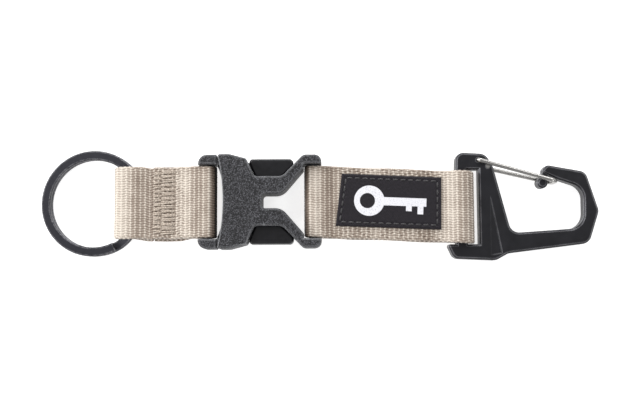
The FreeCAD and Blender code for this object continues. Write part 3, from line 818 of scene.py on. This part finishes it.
# ---------------------------------------------------------------- webbing
@dataclass(frozen=True)
class Webbing:
    """Nylon webbing as woven: yarns side by side that rise over every other pick.

    Attributes:
        width: Width of the webbing.
        thick: Thickness of one layer.
        pick: Length from one pick to the next along the webbing.
        yarn: Width of one yarn.
        relief: Height of the weave from its lowest to its highest.
        edge: Width of the rounded edge.
        row: Length of one row of the grid.
        face_columns: Points across the outer face.
        back_columns: Points across the hidden face, its ends left out.
        level: Rise that lies level with the webbing's plain thickness.
        fold_painted_shade: Painted shade where the webbing turns over a web bar: how much darker
            the colour is made there, as a loss of rise.
        fold_reach: How far from a web bar that can be.
        bar_reach: How far from a web bar the edges stay straight.
    """

    width: float = 20.0 * MM
    thick: float = 1.2 * MM
    pick: float = 1.28 * MM
    yarn: float = 0.69 * MM
    relief: float = 0.26 * MM
    edge: float = 0.5 * MM
    row: float = 0.165 * MM
    face_columns: int = 176
    back_columns: int = 12
    level: float = 0.62
    fold_painted_shade: float = 0.95
    fold_reach: float = 4.5 * MM
    bar_reach: float = 6.0 * MM

    def rise(self, along: Array, across: Array) -> Array:
        """Height of the weave from 0 to 1.

        Each yarn has a round back, the square root of one less the square of the
        distance from its middle.  It crowns once in every pick, as the fourth power of
        a sine, all yarns together, so that the crowns stand in columns; every other
        yarn crowns a little earlier.  Between two columns the yarns lean to one side
        and then to the other, by a sine of two picks.

        Args:
            along: Distance along the webbing.
            across: Distance from its middle.

        Returns:
            The height at each point.
        """
        lean = 0.15 * self.yarn * np.sin(np.pi * along / self.pick)
        ply = 0.05 * self.yarn * np.sin(2.9 * along / self.pick + 1.7 * across / self.yarn)
        place = (across - lean - ply) / self.yarn
        number = np.floor(place + 0.5)
        v = 2 * (place - number)
        back = np.sqrt(np.clip(1 - 0.82 * v * v, 0, 1))
        early = 0.10 * np.mod(number, 2)
        crown = np.sin(np.pi * (along / self.pick + early)) ** 4
        # a shorter float between the columns, half a yarn over
        other = np.cos(np.pi * (along / self.pick + early)) ** 8
        return back * (0.55 + 0.45 * crown + 0.16 * other)

    def strip(self, name: str, route: Route, lean: Lean, start: float, end: float,
              dent: Callable[[Array, Array], Array] | None = None,
              painted_light_bands: Sequence[tuple[float, float, float]] = (),
              sway: Callable[[Array], Array] | None = None) -> bpy.types.Object:
        """Weaves a closed strip along part of a route.

        The profile is a flat band with rounded edges, its outer face on the left of the
        direction of travel.  The face stands off the middle line by half the thickness
        plus the weave's height, less the height's mean; the hidden face is plain.

        Args:
            name: The piece's name.
            route: The webbing's middle line in the level plane.
            lean: How the level plane lies in the model.
            start: Distance along the route where the strip starts.
            end: Distance where it ends.
            dent: Depth pressed into the face, from along and across.
            painted_light_bands: Stretches of painted sheen and painted shade, whose colour is made
                lighter or darker, as place along the level plane, half length and gain.
            sway: Sideways drift of the middle line, from its points.

        Returns:
            The new object.
        """
        rows = int((end - start) / self.row) + 1
        s = np.linspace(start, end, rows)
        line, way = route.at(s)
        normal = np.stack([-way[:, 1], way[:, 0]], axis=-1)
        half = self.width / 2
        face = np.linspace(-half, half, self.face_columns)
        back = np.linspace(half, -half, self.back_columns + 2)[1:-1]
        across = np.concatenate([face, back])
        out = np.concatenate([np.ones(len(face)), -np.ones(len(back))])
        roll = np.clip((np.abs(across) - (half - self.edge)) / self.edge, 0, 1)
        body = self.thick / 2 * np.sqrt(1 - roll ** 2)
        along, side = np.meshgrid(s, across, indexing="ij")
        rise = self.rise(along, side)
        # the selvedge: the weft turns back over the outermost yarns in small loops
        loops = 0.5 + 0.5 * np.cos(2 * np.pi * along / self.pick)
        rise = rise * (1 - roll) + roll * (0.25 + 0.6 * loops)
        stand = self.relief * (rise - self.level) * np.sqrt(1 - 0.85 * roll ** 2)
        lift = np.where(out > 0, stand, 0.0)
        if dent is not None:
            lift = lift - np.where(out > 0, dent(along, side), 0.0)
        offset = out * (body + np.where(out > 0, 0.0, -0.03 * MM)) + lift
        # the edges run slightly unevenly, with a loop at every pick
        free = 0.3 + 0.7 * np.clip((np.abs(line[:, 0]) - self.bar_reach) / (2 * MM), 0, 1)[:, None]
        drift = 0.10 * MM * np.sin(along / (3.1 * MM)) + 0.06 * MM * (loops - 0.5)
        y = side * (1 + free * drift * roll / half)
        if sway is not None:
            y = y + sway(line)[:, None]
        x = line[:, 0][:, None] + normal[:, 0][:, None] * offset
        z = line[:, 1][:, None] + normal[:, 1][:, None] * offset
        rings = lean.place(x, y, z)
        # tone laid on the colour alone: painted shade over the web bars, painted sheen and
        # shade in bands elsewhere
        near = np.abs(line[:, 0]) < self.fold_reach
        # painted shade: darker colour on the steep part of the turn over a web bar
        tone = -self.fold_painted_shade * np.clip((0.90 - np.abs(normal[:, 1])) / 0.45, 0, 1) * near
        # painted sheen and painted shade, in bands along the strap
        for middle, half_length, gain in painted_light_bands:
            tone = tone + gain * np.exp(-((line[:, 0] - middle) / half_length) ** 2)
        shade = np.where(out > 0, rise, 0.35) + tone[:, None]
        # painted shade: the colour is darkened where the stitches press the weave down
        if dent is not None:
            shade = shade - np.where(out > 0, np.clip(1.3 * dent(along, side) / MM, 0, 0.6), 0.0)
        weave = np.stack([along, side, shade], axis=-1)
        return capped_tube(name, rings[:, ::-1], weave[:, ::-1])


# ---------------------------------------------------------------- stitches
@dataclass(frozen=True)
class Stitches:
    """Short lengths of thread that rise out of the cloth and dip back into it.

    Attributes:
        radius: Radius of the thread.
        proud: How far the middle of a stitch stands above the cloth.
        sunk: How far its ends go below the cloth.
        around: Points round the thread.
    """

    radius: float = 0.17 * MM
    proud: float = 0.05 * MM
    sunk: float = 0.20 * MM
    around: int = 6

    def build(self, name: str, starts: Array, ends: Array, lean: Lean, level: float,
              face: int) -> bpy.types.Object:
        """Lays one stitch from each start to its end.

        A stitch is a tube of seven rings, closed at its ends.  Its middle line is
        straight from above; from the side it is a flat-topped bow, one less the fourth
        power of the distance from its middle.  The rings shrink towards its ends.

        Args:
            name: The piece's name.
            starts: Starts, as rows of x and y.
            ends: Ends, as rows of x and y.
            lean: How the level plane lies in the model.
            level: Height of the cloth above the pivot.
            face: +1 for the upper face of the cloth, -1 for the lower.

        Returns:
            The new object.
        """
        share = np.array([-1.0, -0.86, -0.5, 0.0, 0.5, 0.86, 1.0])
        bow = 1 - share ** 4
        girth = np.array([0.35, 0.8, 1.0, 1.0, 1.0, 0.8, 0.35]) * self.radius
        turn = np.arange(self.around) * 2 * math.pi / self.around
        middle = (starts + ends) / 2
        reach = (ends - starts) / 2
        way = reach / np.linalg.norm(reach, axis=1, keepdims=True)
        cross = np.stack([-way[:, 1], way[:, 0]], axis=-1)
        plan = middle[:, None, None, :] + reach[:, None, None, :] * share[None, :, None, None]
        plan = plan + cross[:, None, None, :] * (girth[:, None] * np.cos(turn))[None, :, :, None]
        height = face * (level + (self.sunk + self.proud) * bow - self.sunk)
        z = height[None, :, None] + (girth[:, None] * np.sin(turn))[None]
        z = np.broadcast_to(z, plan.shape[:3])
        points = lean.place(plan[..., 0], plan[..., 1] + lean.shear * plan[..., 0], z)
        size = len(share) * self.around
        bases = (np.arange(len(starts)) * size)[:, None, None]
        ring = np.arange(self.around)
        walls = (tube_faces(len(share), self.around)[None] + bases).reshape(-1, 4)
        caps = np.stack([ring[::-1], size - self.around + ring])[None] + bases
        caps = caps.reshape(-1, self.around)
        return make_piece(name, points.reshape(-1, 3), walls.tolist() + caps.tolist())


# ---------------------------------------------------------------- sub-assemblies
@dataclass
class ShortStrap:
    """The short strap: webbing from the plug's web bar round the ring, with a bar tack.

    Attributes:
        webbing: What it is woven as.
        fold_mid: Web bar's middle to the webbing's middle line round it.
        layer: Height of each sewn layer's middle line.
        pocket_mid: Height of the middle line round the ring.
        tack_start: Web bar to the near end of the tack.
        tack_end: Web bar to its far end.
        flex: Web bar to the line where the ring's loop folds.
        flex_half: Half the length that bends there.
        tack_width: Width of the tack.
        painted_light_bands: Bands of lighter or darker colour, painted sheen and painted shade, as
            place, half length and gain.
    """

    webbing: Webbing = field(default_factory=Webbing)
    fold_mid: float = 2.05 * MM
    layer: float = 1.25 * MM
    pocket_mid: float = 2.13 * MM
    tack_start: float = 8.2 * MM
    tack_end: float = 15.1 * MM
    flex: float = 15.98 * MM
    flex_half: float = 1.3 * MM
    tack_width: float = 18.0 * MM
    # painted sheen and painted shade, in bands along the strap
    painted_light_bands: tuple[tuple[float, float, float], ...] = (
        (-24.0 * MM, 1.9 * MM, 0.20), (-5.4 * MM, 1.8 * MM, 0.14), (-19.5 * MM, 1.6 * MM, -0.12))

    def lean(self) -> Lean:
        """Tilt of the strap about the plug's web bar, read from the ring's axis."""
        axis = joint("ring_spin")["axis"]
        return Lean(joint_place("short_strap_swing"), math.atan2(axis[0], axis[2]))

    def route(self) -> Route:
        """The webbing's middle line.

        Returns:
            The route, from the tucked-in end to the outer end.
        """
        r, lay, pocket = self.fold_mid, self.layer, self.pocket_mid
        settle = -(self.tack_start - 1.2 * MM)
        near, far = -self.flex + 0.3 * MM, -self.flex - 3.0 * MM
        pivot, low = joint_place("short_strap_swing"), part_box("ring_loop")[0]
        fold = (pivot[0] - low[0]) / math.cos(self.lean().angle) - self.webbing.thick / 2
        corners = [(-self.tack_start, 0.0, 0.0), (near + 0.9 * MM, 0.0, 3 * MM),
                   (far, -pocket, 3 * MM),
                   (-fold, -pocket, pocket - 1e-8), (-fold, pocket, pocket - 1e-8),
                   (far, pocket, 3 * MM), (near, lay, 3 * MM), (settle, lay, 4 * MM)]
        corners.append(bar_corner((settle, lay), (0, 0), r, 1, True))
        corners.append(bar_corner((settle, -lay), (0, 0), r, 1, False))
        corners += [(settle, -lay, 4 * MM), (-self.tack_end, -lay, 0.0)]
        return Route(corners)

    @staticmethod
    def sway(line: Array) -> Array:
        """Drift of the sewn layers: the lower one sits off to one side of the upper.

        A bell along the strap, wavy on the upper layer and wider on the lower.

        Args:
            line: The middle line's points, as rows of x and z.

        Returns:
            The drift in Y at each point.
        """
        x, z = line[:, 0], line[:, 1]
        bell = np.clip((np.abs(x) - 4.5 * MM) / (3 * MM), 0, 1)
        bell = bell * np.clip((21 * MM + x) / (4 * MM), 0, 1)
        upper = -0.16 * MM * (1 + np.sin(x / (0.9 * MM)))
        return bell * np.where(z > 0.3 * MM, upper, np.where(z < -0.3 * MM, -0.62 * MM, 0.0))

    def tack(self, face: int) -> bpy.types.Object:
        """Sews the bar tack on one face.

        Two blocks of stitches lie side by side along the strap: long ones close
        together, and shorter ones towards the ring.

        Args:
            face: +1 for the upper face, -1 for the back.

        Returns:
            The stitches as one piece.
        """
        lean = self.lean()
        rng = np.random.default_rng(5)
        stray = np.array([0.22, 0.22, 0.09, 0.09])[:, None] * MM
        starts, ends = [], []
        for near, far, pitch, spread in (
                (self.tack_start + 0.3 * MM, 12.9 * MM, 1.20 * MM, 0.25 * MM),
                (12.6 * MM, self.tack_end - 0.2 * MM, 1.24 * MM, 0.22 * MM)):
            count = int(self.tack_width / pitch)
            rows = (np.arange(count) - (count - 1) / 2) * pitch
            for side in (-1, 1):
                wander = rng.normal(0, 1, (4, count)) * stray
                starts.append(np.stack(
                    [-far + wander[0], rows + side * spread + wander[2]], axis=-1))
                ends.append(np.stack(
                    [-near + wander[1], rows + 0.55 * side * spread + wander[3]], axis=-1))
        name = "tack_needle_stitches" if face > 0 else "tack_bobbin_stitches"
        level = self.layer + self.webbing.thick / 2 - 0.05 * MM
        return Stitches(radius=0.24 * MM, proud=0.16 * MM).build(
            name, np.concatenate(starts), np.concatenate(ends), lean, level, face)

    def pressed(self, route: Route, along: Array, side: Array) -> Array:
        """Depth the tack presses into the webbing.

        A flat-bottomed dip under the stitches, and round it a pucker made of two
        crossing sines, each bent by another, half as deep on the lower layer.

        Args:
            route: The webbing's middle line.
            along: Distance along it.
            side: Distance across it.

        Returns:
            The depth at each point.
        """
        points, _ = route.at(along[:, 0])
        reach = 0.5 * (self.tack_end - self.tack_start)
        past = points[:, 0] + 0.5 * (self.tack_start + self.tack_end)
        inside = np.clip((reach + 0.3 * MM - np.abs(past)) / (0.5 * MM), 0, 1)
        edge = np.clip((9.4 * MM - np.abs(side)) / (0.8 * MM), 0, 1)
        flat = 0.08 * MM * inside[:, None] * edge
        rough = np.sin(along / (0.31 * MM) + 2.3 * np.sin(side / (0.9 * MM)))
        rough = rough * np.sin(side / (0.27 * MM) + 1.9 * np.sin(along / (1.1 * MM)))
        wide = np.clip((reach + 2.0 * MM - np.abs(past - 0.8 * MM)) / MM, 0, 1)
        upper = np.where(points[:, 1] > 0, 1.0, 0.5)
        return flat + 0.14 * MM * (wide * upper)[:, None] * np.clip(rough - 0.1, 0, 1)

    def build(self, webbing_finish: bpy.types.Material,
              thread: bpy.types.Material) -> list[bpy.types.Object]:
        """Makes the webbing and its bar tack, and sets the tack on its body.

        Args:
            webbing_finish: The webbing's material.
            thread: The thread's material.

        Returns:
            The new pieces.
        """
        lean, route = self.lean(), self.route()
        strap = self.webbing.strip("short_webbing", route, lean, 0.0, route.length,
                                   partial(self.pressed, route), self.painted_light_bands, self.sway)
        strap.data.materials.append(webbing_finish)
        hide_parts("short_strap", "ring_loop")
        level = np.array(0.0)
        start = lean.place(np.array(-self.flex + self.flex_half), level, level)
        end = lean.place(np.array(-self.flex - self.flex_half), level, level)
        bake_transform(strap)
        pieces = [strap]
        for face, node in ((1, "tack_needle_thread"), (-1, "tack_bobbin_thread")):
            stitches = self.tack(face)
            stitches.data.materials.append(thread)
            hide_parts(node)
            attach(stitches, Body.SHORT.value)
            pieces.append(stitches)
        LOG.info("short strap: %.1f mm of webbing", route.length / MM)
        return pieces


@dataclass
class LongStrap:
    """The long strap: a loop of webbing between the socket and the hook, and its label.

    Attributes:
        webbing: What it is woven as.
        fold_mid: Socket's web bar to the webbing's middle line round it.
        hook_fold_mid: Hook's web bar to the middle line round that.
        layer: Height of each outer layer's middle line.
        length: Socket's web bar to the hook's.
        shear: Sideways drift of the strap for each metre of its length.
        flat_start: Socket's web bar to the start of the flat stretch.
        flat_length: Length of the flat stretch.
        tab_inset: How far the tucked-in ends stop short of it.
        bar_turn: Shortest arc that counts as a turn round a bar.
        label_start: Socket's web bar to the label.
        label_length: Length of the label.
        label_height: Width of the label, across the strap.
        label_lean: How far the label's left side leans.
        label_off: How far the label sits off the strap's middle.
        label_thick: Thickness of the label.
        label_grid: Points along and across the label.
        stitch_inset: Label's edge to its line of stitches.
        stitch_pitch: One stitch to the next.
        stitch_length: Length of one stitch.
        painted_light_bands: Bands of lighter or darker colour, painted sheen and painted shade, as
            place, half length and gain.
    """

    webbing: Webbing = field(default_factory=Webbing)
    fold_mid: float = 2.05 * MM
    hook_fold_mid: float = 3.056 * MM
    layer: float = 1.25 * MM
    length: float = 40.9 * MM
    shear: float = 0.040
    flat_start: float = 5.4 * MM
    flat_length: float = 31.0 * MM
    tab_inset: float = 3.2 * MM
    bar_turn: float = 2.5 * MM
    label_start: float = 6.8 * MM
    label_length: float = 28.4 * MM
    label_height: float = 14.5 * MM
    label_lean: float = 0.9 * MM
    label_off: float = 0.7 * MM
    label_thick: float = 0.6 * MM
    label_grid: tuple[int, int] = (150, 78)
    stitch_inset: float = 1.15 * MM
    stitch_pitch: float = 2.15 * MM
    stitch_length: float = 1.55 * MM
    # painted sheen and painted shade, in bands along the strap
    painted_light_bands: tuple[tuple[float, float, float], ...] = (
        (0.9 * MM, 1.4 * MM, 0.16), (4.6 * MM, 1.5 * MM, -0.10), (38.0 * MM, 1.6 * MM, 0.12))

    def lean(self) -> Lean:
        """Tilt of the strap about the socket's web bar, read from the two hinges."""
        a, b = joint_place("long_strap_swing"), joint_place("hook_swing")
        return Lean(a, math.atan2(a[2] - b[2], b[0] - a[0]), self.shear)

    def route(self) -> Route:
        """The webbing's middle line.

        Returns:
            The route, from the tucked-in end round both bars to the other end.
        """
        lay = self.layer
        flat_end = self.flat_start + self.flat_length
        tuck = self.flat_start + self.tab_inset
        hook = (self.length, 0.0)
        corners = [(flat_end - self.tab_inset, 0.0, 0.0), (tuck, 0.0, 4 * MM)]
        corners.append(bar_corner((tuck, 0.0), (0, 0), self.fold_mid, -1, False))
        corners.append(bar_corner((self.flat_start, lay), (0, 0), self.fold_mid, -1, True))
        corners += [(self.flat_start, lay, 3 * MM), (flat_end, lay, 3 * MM)]
        corners.append(bar_corner((flat_end, lay), hook, self.hook_fold_mid, 1, True))
        corners.append(bar_corner((flat_end, -lay), hook, self.hook_fold_mid, 1, False))
        corners += [(flat_end, -lay, 3 * MM), (tuck + 0.5 * MM, -lay, 0.0)]
        return Route(corners)

    def corners(self, inset: float) -> Array:
        """The label's corners, drawn in by an inset.

        Args:
            inset: How far they are drawn in.

        Returns:
            The corners in order, as rows of x and y in the level plane.
        """
        left, right = self.label_start + inset, self.label_start + self.label_length - inset
        half = self.label_height / 2 - inset
        rows = [(left + self.label_lean, half, left), (right + 0.1 * MM, half, right),
                (right - 0.1 * MM, -half, right), (left - self.label_lean, -half, left)]
        return np.array([(x, y + self.label_off - self.shear * at) for x, y, at in rows])

    def drawn(self, along: Array, side: Array) -> Array:
        """Depth of the weave drawn down by the stitches along the label's long sides.

        Two crossing sines, each bent by another, kept to a band along either edge.

        Args:
            along: Distance along the webbing.
            side: Distance across it.

        Returns:
            The depth at each point.
        """
        band = np.clip((np.abs(side) - 6.2 * MM) / MM, 0, 1)
        rough = np.sin(along / (0.33 * MM) + 2.1 * np.sin(side / (0.8 * MM)))
        rough = rough * np.sin(side / (0.25 * MM) + 1.7 * np.sin(along / (1.3 * MM)))
        place = along - 0.5 * (along.max() + along.min())
        here = np.clip((15.5 * MM - np.abs(place)) / (2 * MM), 0, 1)
        return 0.16 * MM * band * here * np.clip(rough - 0.05, 0, 1)

    def label(self) -> bpy.types.Object:
        """Makes the label's cloth.

        Its plan is the four corners blended by shares u and v.  The section is a flat
        pad whose rim rolls down as the square root of one less the square of the
        distance past the rim, with a shallow groove along the stitch line and slow
        waves.

        Returns:
            The new object.
        """
        lean = Lean(self.lean().pivot, self.lean().angle)
        a, b, c, d = self.corners(0.0)
        uu, vv = np.meshgrid(*(np.linspace(0, 1, n) for n in self.label_grid), indexing="ij")
        plan = ((1 - uu) * vv)[..., None] * a + (uu * vv)[..., None] * b \
            + (uu * (1 - vv))[..., None] * c + ((1 - uu) * (1 - vv))[..., None] * d
        x, y = uu * self.label_length, (vv - 0.5) * self.label_height
        rim = np.minimum.reduce([x, self.label_length - x, self.label_height / 2 - np.abs(y)])
        roll = np.clip(1 - rim / (0.42 * MM), 0, 1)
        top = self.label_thick * np.sqrt(1 - 0.92 * roll ** 2)
        groove = np.exp(-((rim - self.stitch_inset) / (0.30 * MM)) ** 2)
        puff = np.clip((rim - self.stitch_inset) / (2.5 * MM), 0, 1)
        wave = 0.03 * MM * np.sin(x / (2.3 * MM)) * np.sin(y / (1.9 * MM) + 0.6)
        # each stitch draws the rim down a little
        on_end = np.minimum(x, self.label_length - x) < self.label_height / 2 - np.abs(y)
        pull = np.cos(2 * np.pi * np.where(on_end, y, x) / self.stitch_pitch)
        groove = groove * (1.0 + 0.35 * pull)
        base = self.layer + self.webbing.thick / 2
        z = base + top - 0.16 * MM * groove + 0.02 * MM * puff + wave * puff
        upper = lean.place(plan[..., 0], plan[..., 1], z)
        lower = lean.place(plan[..., 0], plan[..., 1], np.full_like(z, base - 0.03 * MM))
        nu, nv = uu.shape
        grid = np.arange(nu * nv).reshape(nu, nv)
        quads = np.stack([grid[:-1, :-1], grid[1:, :-1], grid[1:, 1:], grid[:-1, 1:]], axis=-1)
        quads = quads.reshape(-1, 4)
        under = quads[:, ::-1] + nu * nv
        loop = np.concatenate([grid[:, 0], grid[-1, 1:], grid[-2::-1, -1], grid[0, -2:0:-1]])
        after = np.roll(loop, -1)
        walls = np.stack([loop, loop + nu * nv, after + nu * nv, after], axis=-1)
        weave = np.stack([x, y, np.zeros_like(x)], axis=-1)
        points = np.concatenate([upper.reshape(-1, 3), lower.reshape(-1, 3)])
        return make_piece("label_cloth", points, np.concatenate([quads, under, walls]),
                          np.concatenate([weave.reshape(-1, 3)] * 2))

    def stitches(self, face: int) -> bpy.types.Object:
        """Sews the line of stitches round the label.

        Args:
            face: +1 for the label's face, -1 for the back of the strap.

        Returns:
            The stitches as one piece.
        """
        corners = self.corners(self.stitch_inset)
        starts, ends = [], []
        for a, b in zip(corners, np.roll(corners, -1, axis=0)):
            side = b - a
            length = float(np.linalg.norm(side))
            count = round(length / self.stitch_pitch)
            middle = (np.arange(count) + 0.5)[:, None] * (side / count)[None] + a
            half = side / length * self.stitch_length / 2
            starts.append(middle - half)
            ends.append(middle + half)
        first, last = np.concatenate(starts), np.concatenate(ends)
        lean = Lean(self.lean().pivot, self.lean().angle)
        base = self.layer + self.webbing.thick / 2
        level = base + self.label_thick - 0.10 * MM if face > 0 else base - 0.05 * MM
        name = "label_needle_stitches" if face > 0 else "label_bobbin_stitches"
        sewing = Stitches(radius=0.21 * MM, proud=0.08 * MM)
        return sewing.build(name, first, last, lean, level, face)

    def build(self, webbing_finish: bpy.types.Material, cloth: bpy.types.Material,
              thread: bpy.types.Material) -> list[bpy.types.Object]:
        """Makes the webbing, the label and its stitches and sets them on their body.

        Args:
            webbing_finish: The webbing's material.
            cloth: The label's material.
            thread: The material of the label's thread.

        Returns:
            The new pieces.
        """
        lean, route = self.lean(), self.route()
        # the loop is woven in three lengths that butt together on the far side of the bars
        turns = route.arc_ends(self.bar_turn)
        cuts = (0.0, turns[0], turns[2], route.length)
        pieces = []
        for name, a, b in zip(("long_webbing_inner", "long_webbing_front", "long_webbing_back"),
                              cuts, cuts[1:]):
            strap = self.webbing.strip(name, route, lean, a, b, self.drawn, self.painted_light_bands)
            strap.data.materials.append(webbing_finish)
            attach(strap, Body.LONG.value)
            pieces.append(strap)
        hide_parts("long_strap")
        label = self.label()
        label.data.materials.append(cloth)
        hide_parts("label_patch")
        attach(label, Body.LONG.value)
        pieces.append(label)
        for face, node in ((1, "label_needle_thread"), (-1, "label_bobbin_thread")):
            stitches = self.stitches(face)
            stitches.data.materials.append(thread)
            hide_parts(node)
            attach(stitches, Body.LONG.value)
            pieces.append(stitches)
        LOG.info("long strap: %.1f mm of webbing", route.length / MM)
        return pieces


@dataclass
class HardParts:
    """The moulded and metal pieces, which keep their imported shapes."""

    buckle: tuple[str, ...] = ("female_buckle", "male_buckle")
    pads: tuple[str, ...] = ("latch_arm_upper", "latch_arm_lower")

    def dress(self) -> list[bpy.types.Object]:
        """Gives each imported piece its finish.

        Returns:
            The dressed pieces.
        """
        pieces = []
        finishes = {
            PebbledPlastic(): self.buckle,
            SmoothPlastic(): self.pads,
            CoatedSteel(): ("split_ring",),
            AnodisedAluminium(): ("carabiner_body",),
            StainlessWire(): ("wire_gate",),
            PrintInk(): ("label_mark",),
        }
        for finish, nodes in finishes.items():
            material = finish.build()
            for name in nodes:
                piece = frame["nodes"][name]
                piece.data.materials.clear()
                piece.data.materials.append(material)
                pieces.append(piece)
        return pieces


@dataclass(frozen=True)
class Lamp:
    """A square soft lamp that points at the strap's middle.

    Attributes:
        name: Its name.
        place: Where it hangs.
        size: Length of its side.
        power: Its power in watts.
    """

    name: str
    place: tuple[float, float, float]
    size: float
    power: float

    def hang(self) -> None:
        """Makes the lamp."""
        light = bpy.data.lights.new(self.name, "AREA")
        light.shape = "SQUARE"
        light.size = self.size
        light.energy = self.power
        lamp = bpy.data.objects.new(self.name, light)
        bpy.context.scene.collection.objects.link(lamp)
        lamp.location = self.place
        lamp.rotation_euler = look(np.array(self.place), np.zeros(3))


@dataclass
class Studio:
    """Pale floor, soft lamps and the camera.

    Attributes:
        distance: Camera to the middle of the strap.
        lens: Focal length, in millimetres on a 36 mm sensor.
        height: Angle of the camera above the horizon, in degrees.
        turn: Turn of the camera about the vertical, in degrees, clockwise from above.
        target: What the camera looks at.
        floor_edge: Half the floor's side.
        floor_gap: Floor to the underside of the strap.
        floor_glow: Strength of the white light the floor gives off.
        surround: Strength of the light from all round.
        lamps: The lamps.
    """

    distance: float = 0.2665
    lens: float = 54.0
    height: float = 85.0
    turn: float = 0.30
    target: tuple[float, float, float] = (0.00026, -0.00006, 0.005)
    floor_edge: float = 3.0
    floor_gap: float = 0.02 * MM
    floor_glow: float = 0.74
    surround: float = 0.42
    lamps: tuple[Lamp, ...] = (
        Lamp("softbox_far_left", (-0.36, 0.36, 0.36), 0.26, 2.0),
        Lamp("softbox_far_right", (0.36, 0.34, 0.32), 0.26, 0.85),
        Lamp("softbox_near_left", (-0.42, -0.26, 0.30), 0.26, 0.75),
        Lamp("softbox_near_right", (0.34, -0.38, 0.30), 0.26, 0.55),
        Lamp("strip_left", (-0.50, 0.12, 0.15), 0.16, 1.1),
        Lamp("strip_far", (0.08, 0.52, 0.16), 0.16, 1.1))

    def floor(self) -> None:
        """Makes a wide flat floor, just under the strap."""
        corners = np.array([(-1, -1), (1, -1), (1, 1), (-1, 1)]) * self.floor_edge
        points = np.column_stack([corners, np.full(4, -self.floor_gap)])
        floor = make_piece("studio_floor", points, np.array([[0, 1, 2, 3]]))
        g = Graph("pale_floor")
        g.set(Base_Color=(0.75, 0.75, 0.75, 1.0), Roughness=0.8,
              Emission_Color=(1.0, 1.0, 1.0, 1.0), Emission_Strength=self.floor_glow)
        floor.data.materials.append(g.material)

    def camera(self) -> None:
        """Sets the camera over the strap, leaning a little towards its near side."""
        data = bpy.data.cameras.new("camera")
        data.lens = self.lens
        data.sensor_width = 36.0
        data.clip_start = 0.01
        camera = bpy.data.objects.new("camera", data)
        bpy.context.scene.collection.objects.link(camera)
        tilt, turn = math.radians(self.height), math.radians(self.turn)
        target = np.array(self.target)
        place = target + self.distance * np.array(
            [-math.sin(turn) * math.cos(tilt), -math.cos(turn) * math.cos(tilt), math.sin(tilt)])
        camera.location = place
        camera.rotation_euler = look(place, target)
        bpy.context.scene.camera = camera

    def build(self) -> None:
        """Makes the floor, lamps, camera and a pale surrounding light."""
        self.floor()
        for lamp in self.lamps:
            lamp.hang()
        world = bpy.data.worlds.new("studio")
        bpy.context.scene.world = world
        world.use_nodes = True
        back = world.node_tree.nodes["Background"]
        back.inputs[0].default_value = (1.0, 1.0, 1.0, 1.0)
        back.inputs[1].default_value = self.surround
        self.camera()


def look(place: Array, target: Array) -> tuple[float, float, float]:
    """Turns that point an object's -Z axis at a target, with +Y up in its view.

    Args:
        place: Where the object is.
        target: What it looks at.

    Returns:
        Angles about X, Y and Z.
    """
    way = np.asarray(target, dtype=float) - np.asarray(place, dtype=float)
    flat = math.hypot(way[0], way[1])
    return math.atan2(flat, -way[2]), 0.0, math.atan2(-way[0], way[1])


def main() -> None:
    """Builds every sub-assembly, then the studio."""
    logging.basicConfig(level=logging.INFO, format="%(message)s")
    webbing = WebbingFinish().build()
    thread = ThreadFinish("beige_thread", (0.24, 0.185, 0.14), (0.66, 0.57, 0.48)).build()
    black = ThreadFinish("black_thread", (0.008, 0.007, 0.009), (0.05, 0.045, 0.05)).build()
    pieces = HardParts().dress()
    pieces += ShortStrap().build(webbing, thread)
    pieces += LongStrap().build(webbing, LabelCloth().build(), black)
    for piece in pieces:
        LOG.info("%s: %s, %d faces", piece.name, piece.data.materials[0].name,
                 len(piece.data.polygons))
    bpy.context.scene.view_settings.view_transform = "Standard"
    Studio().build()


if __name__ == "__main__":
    main()
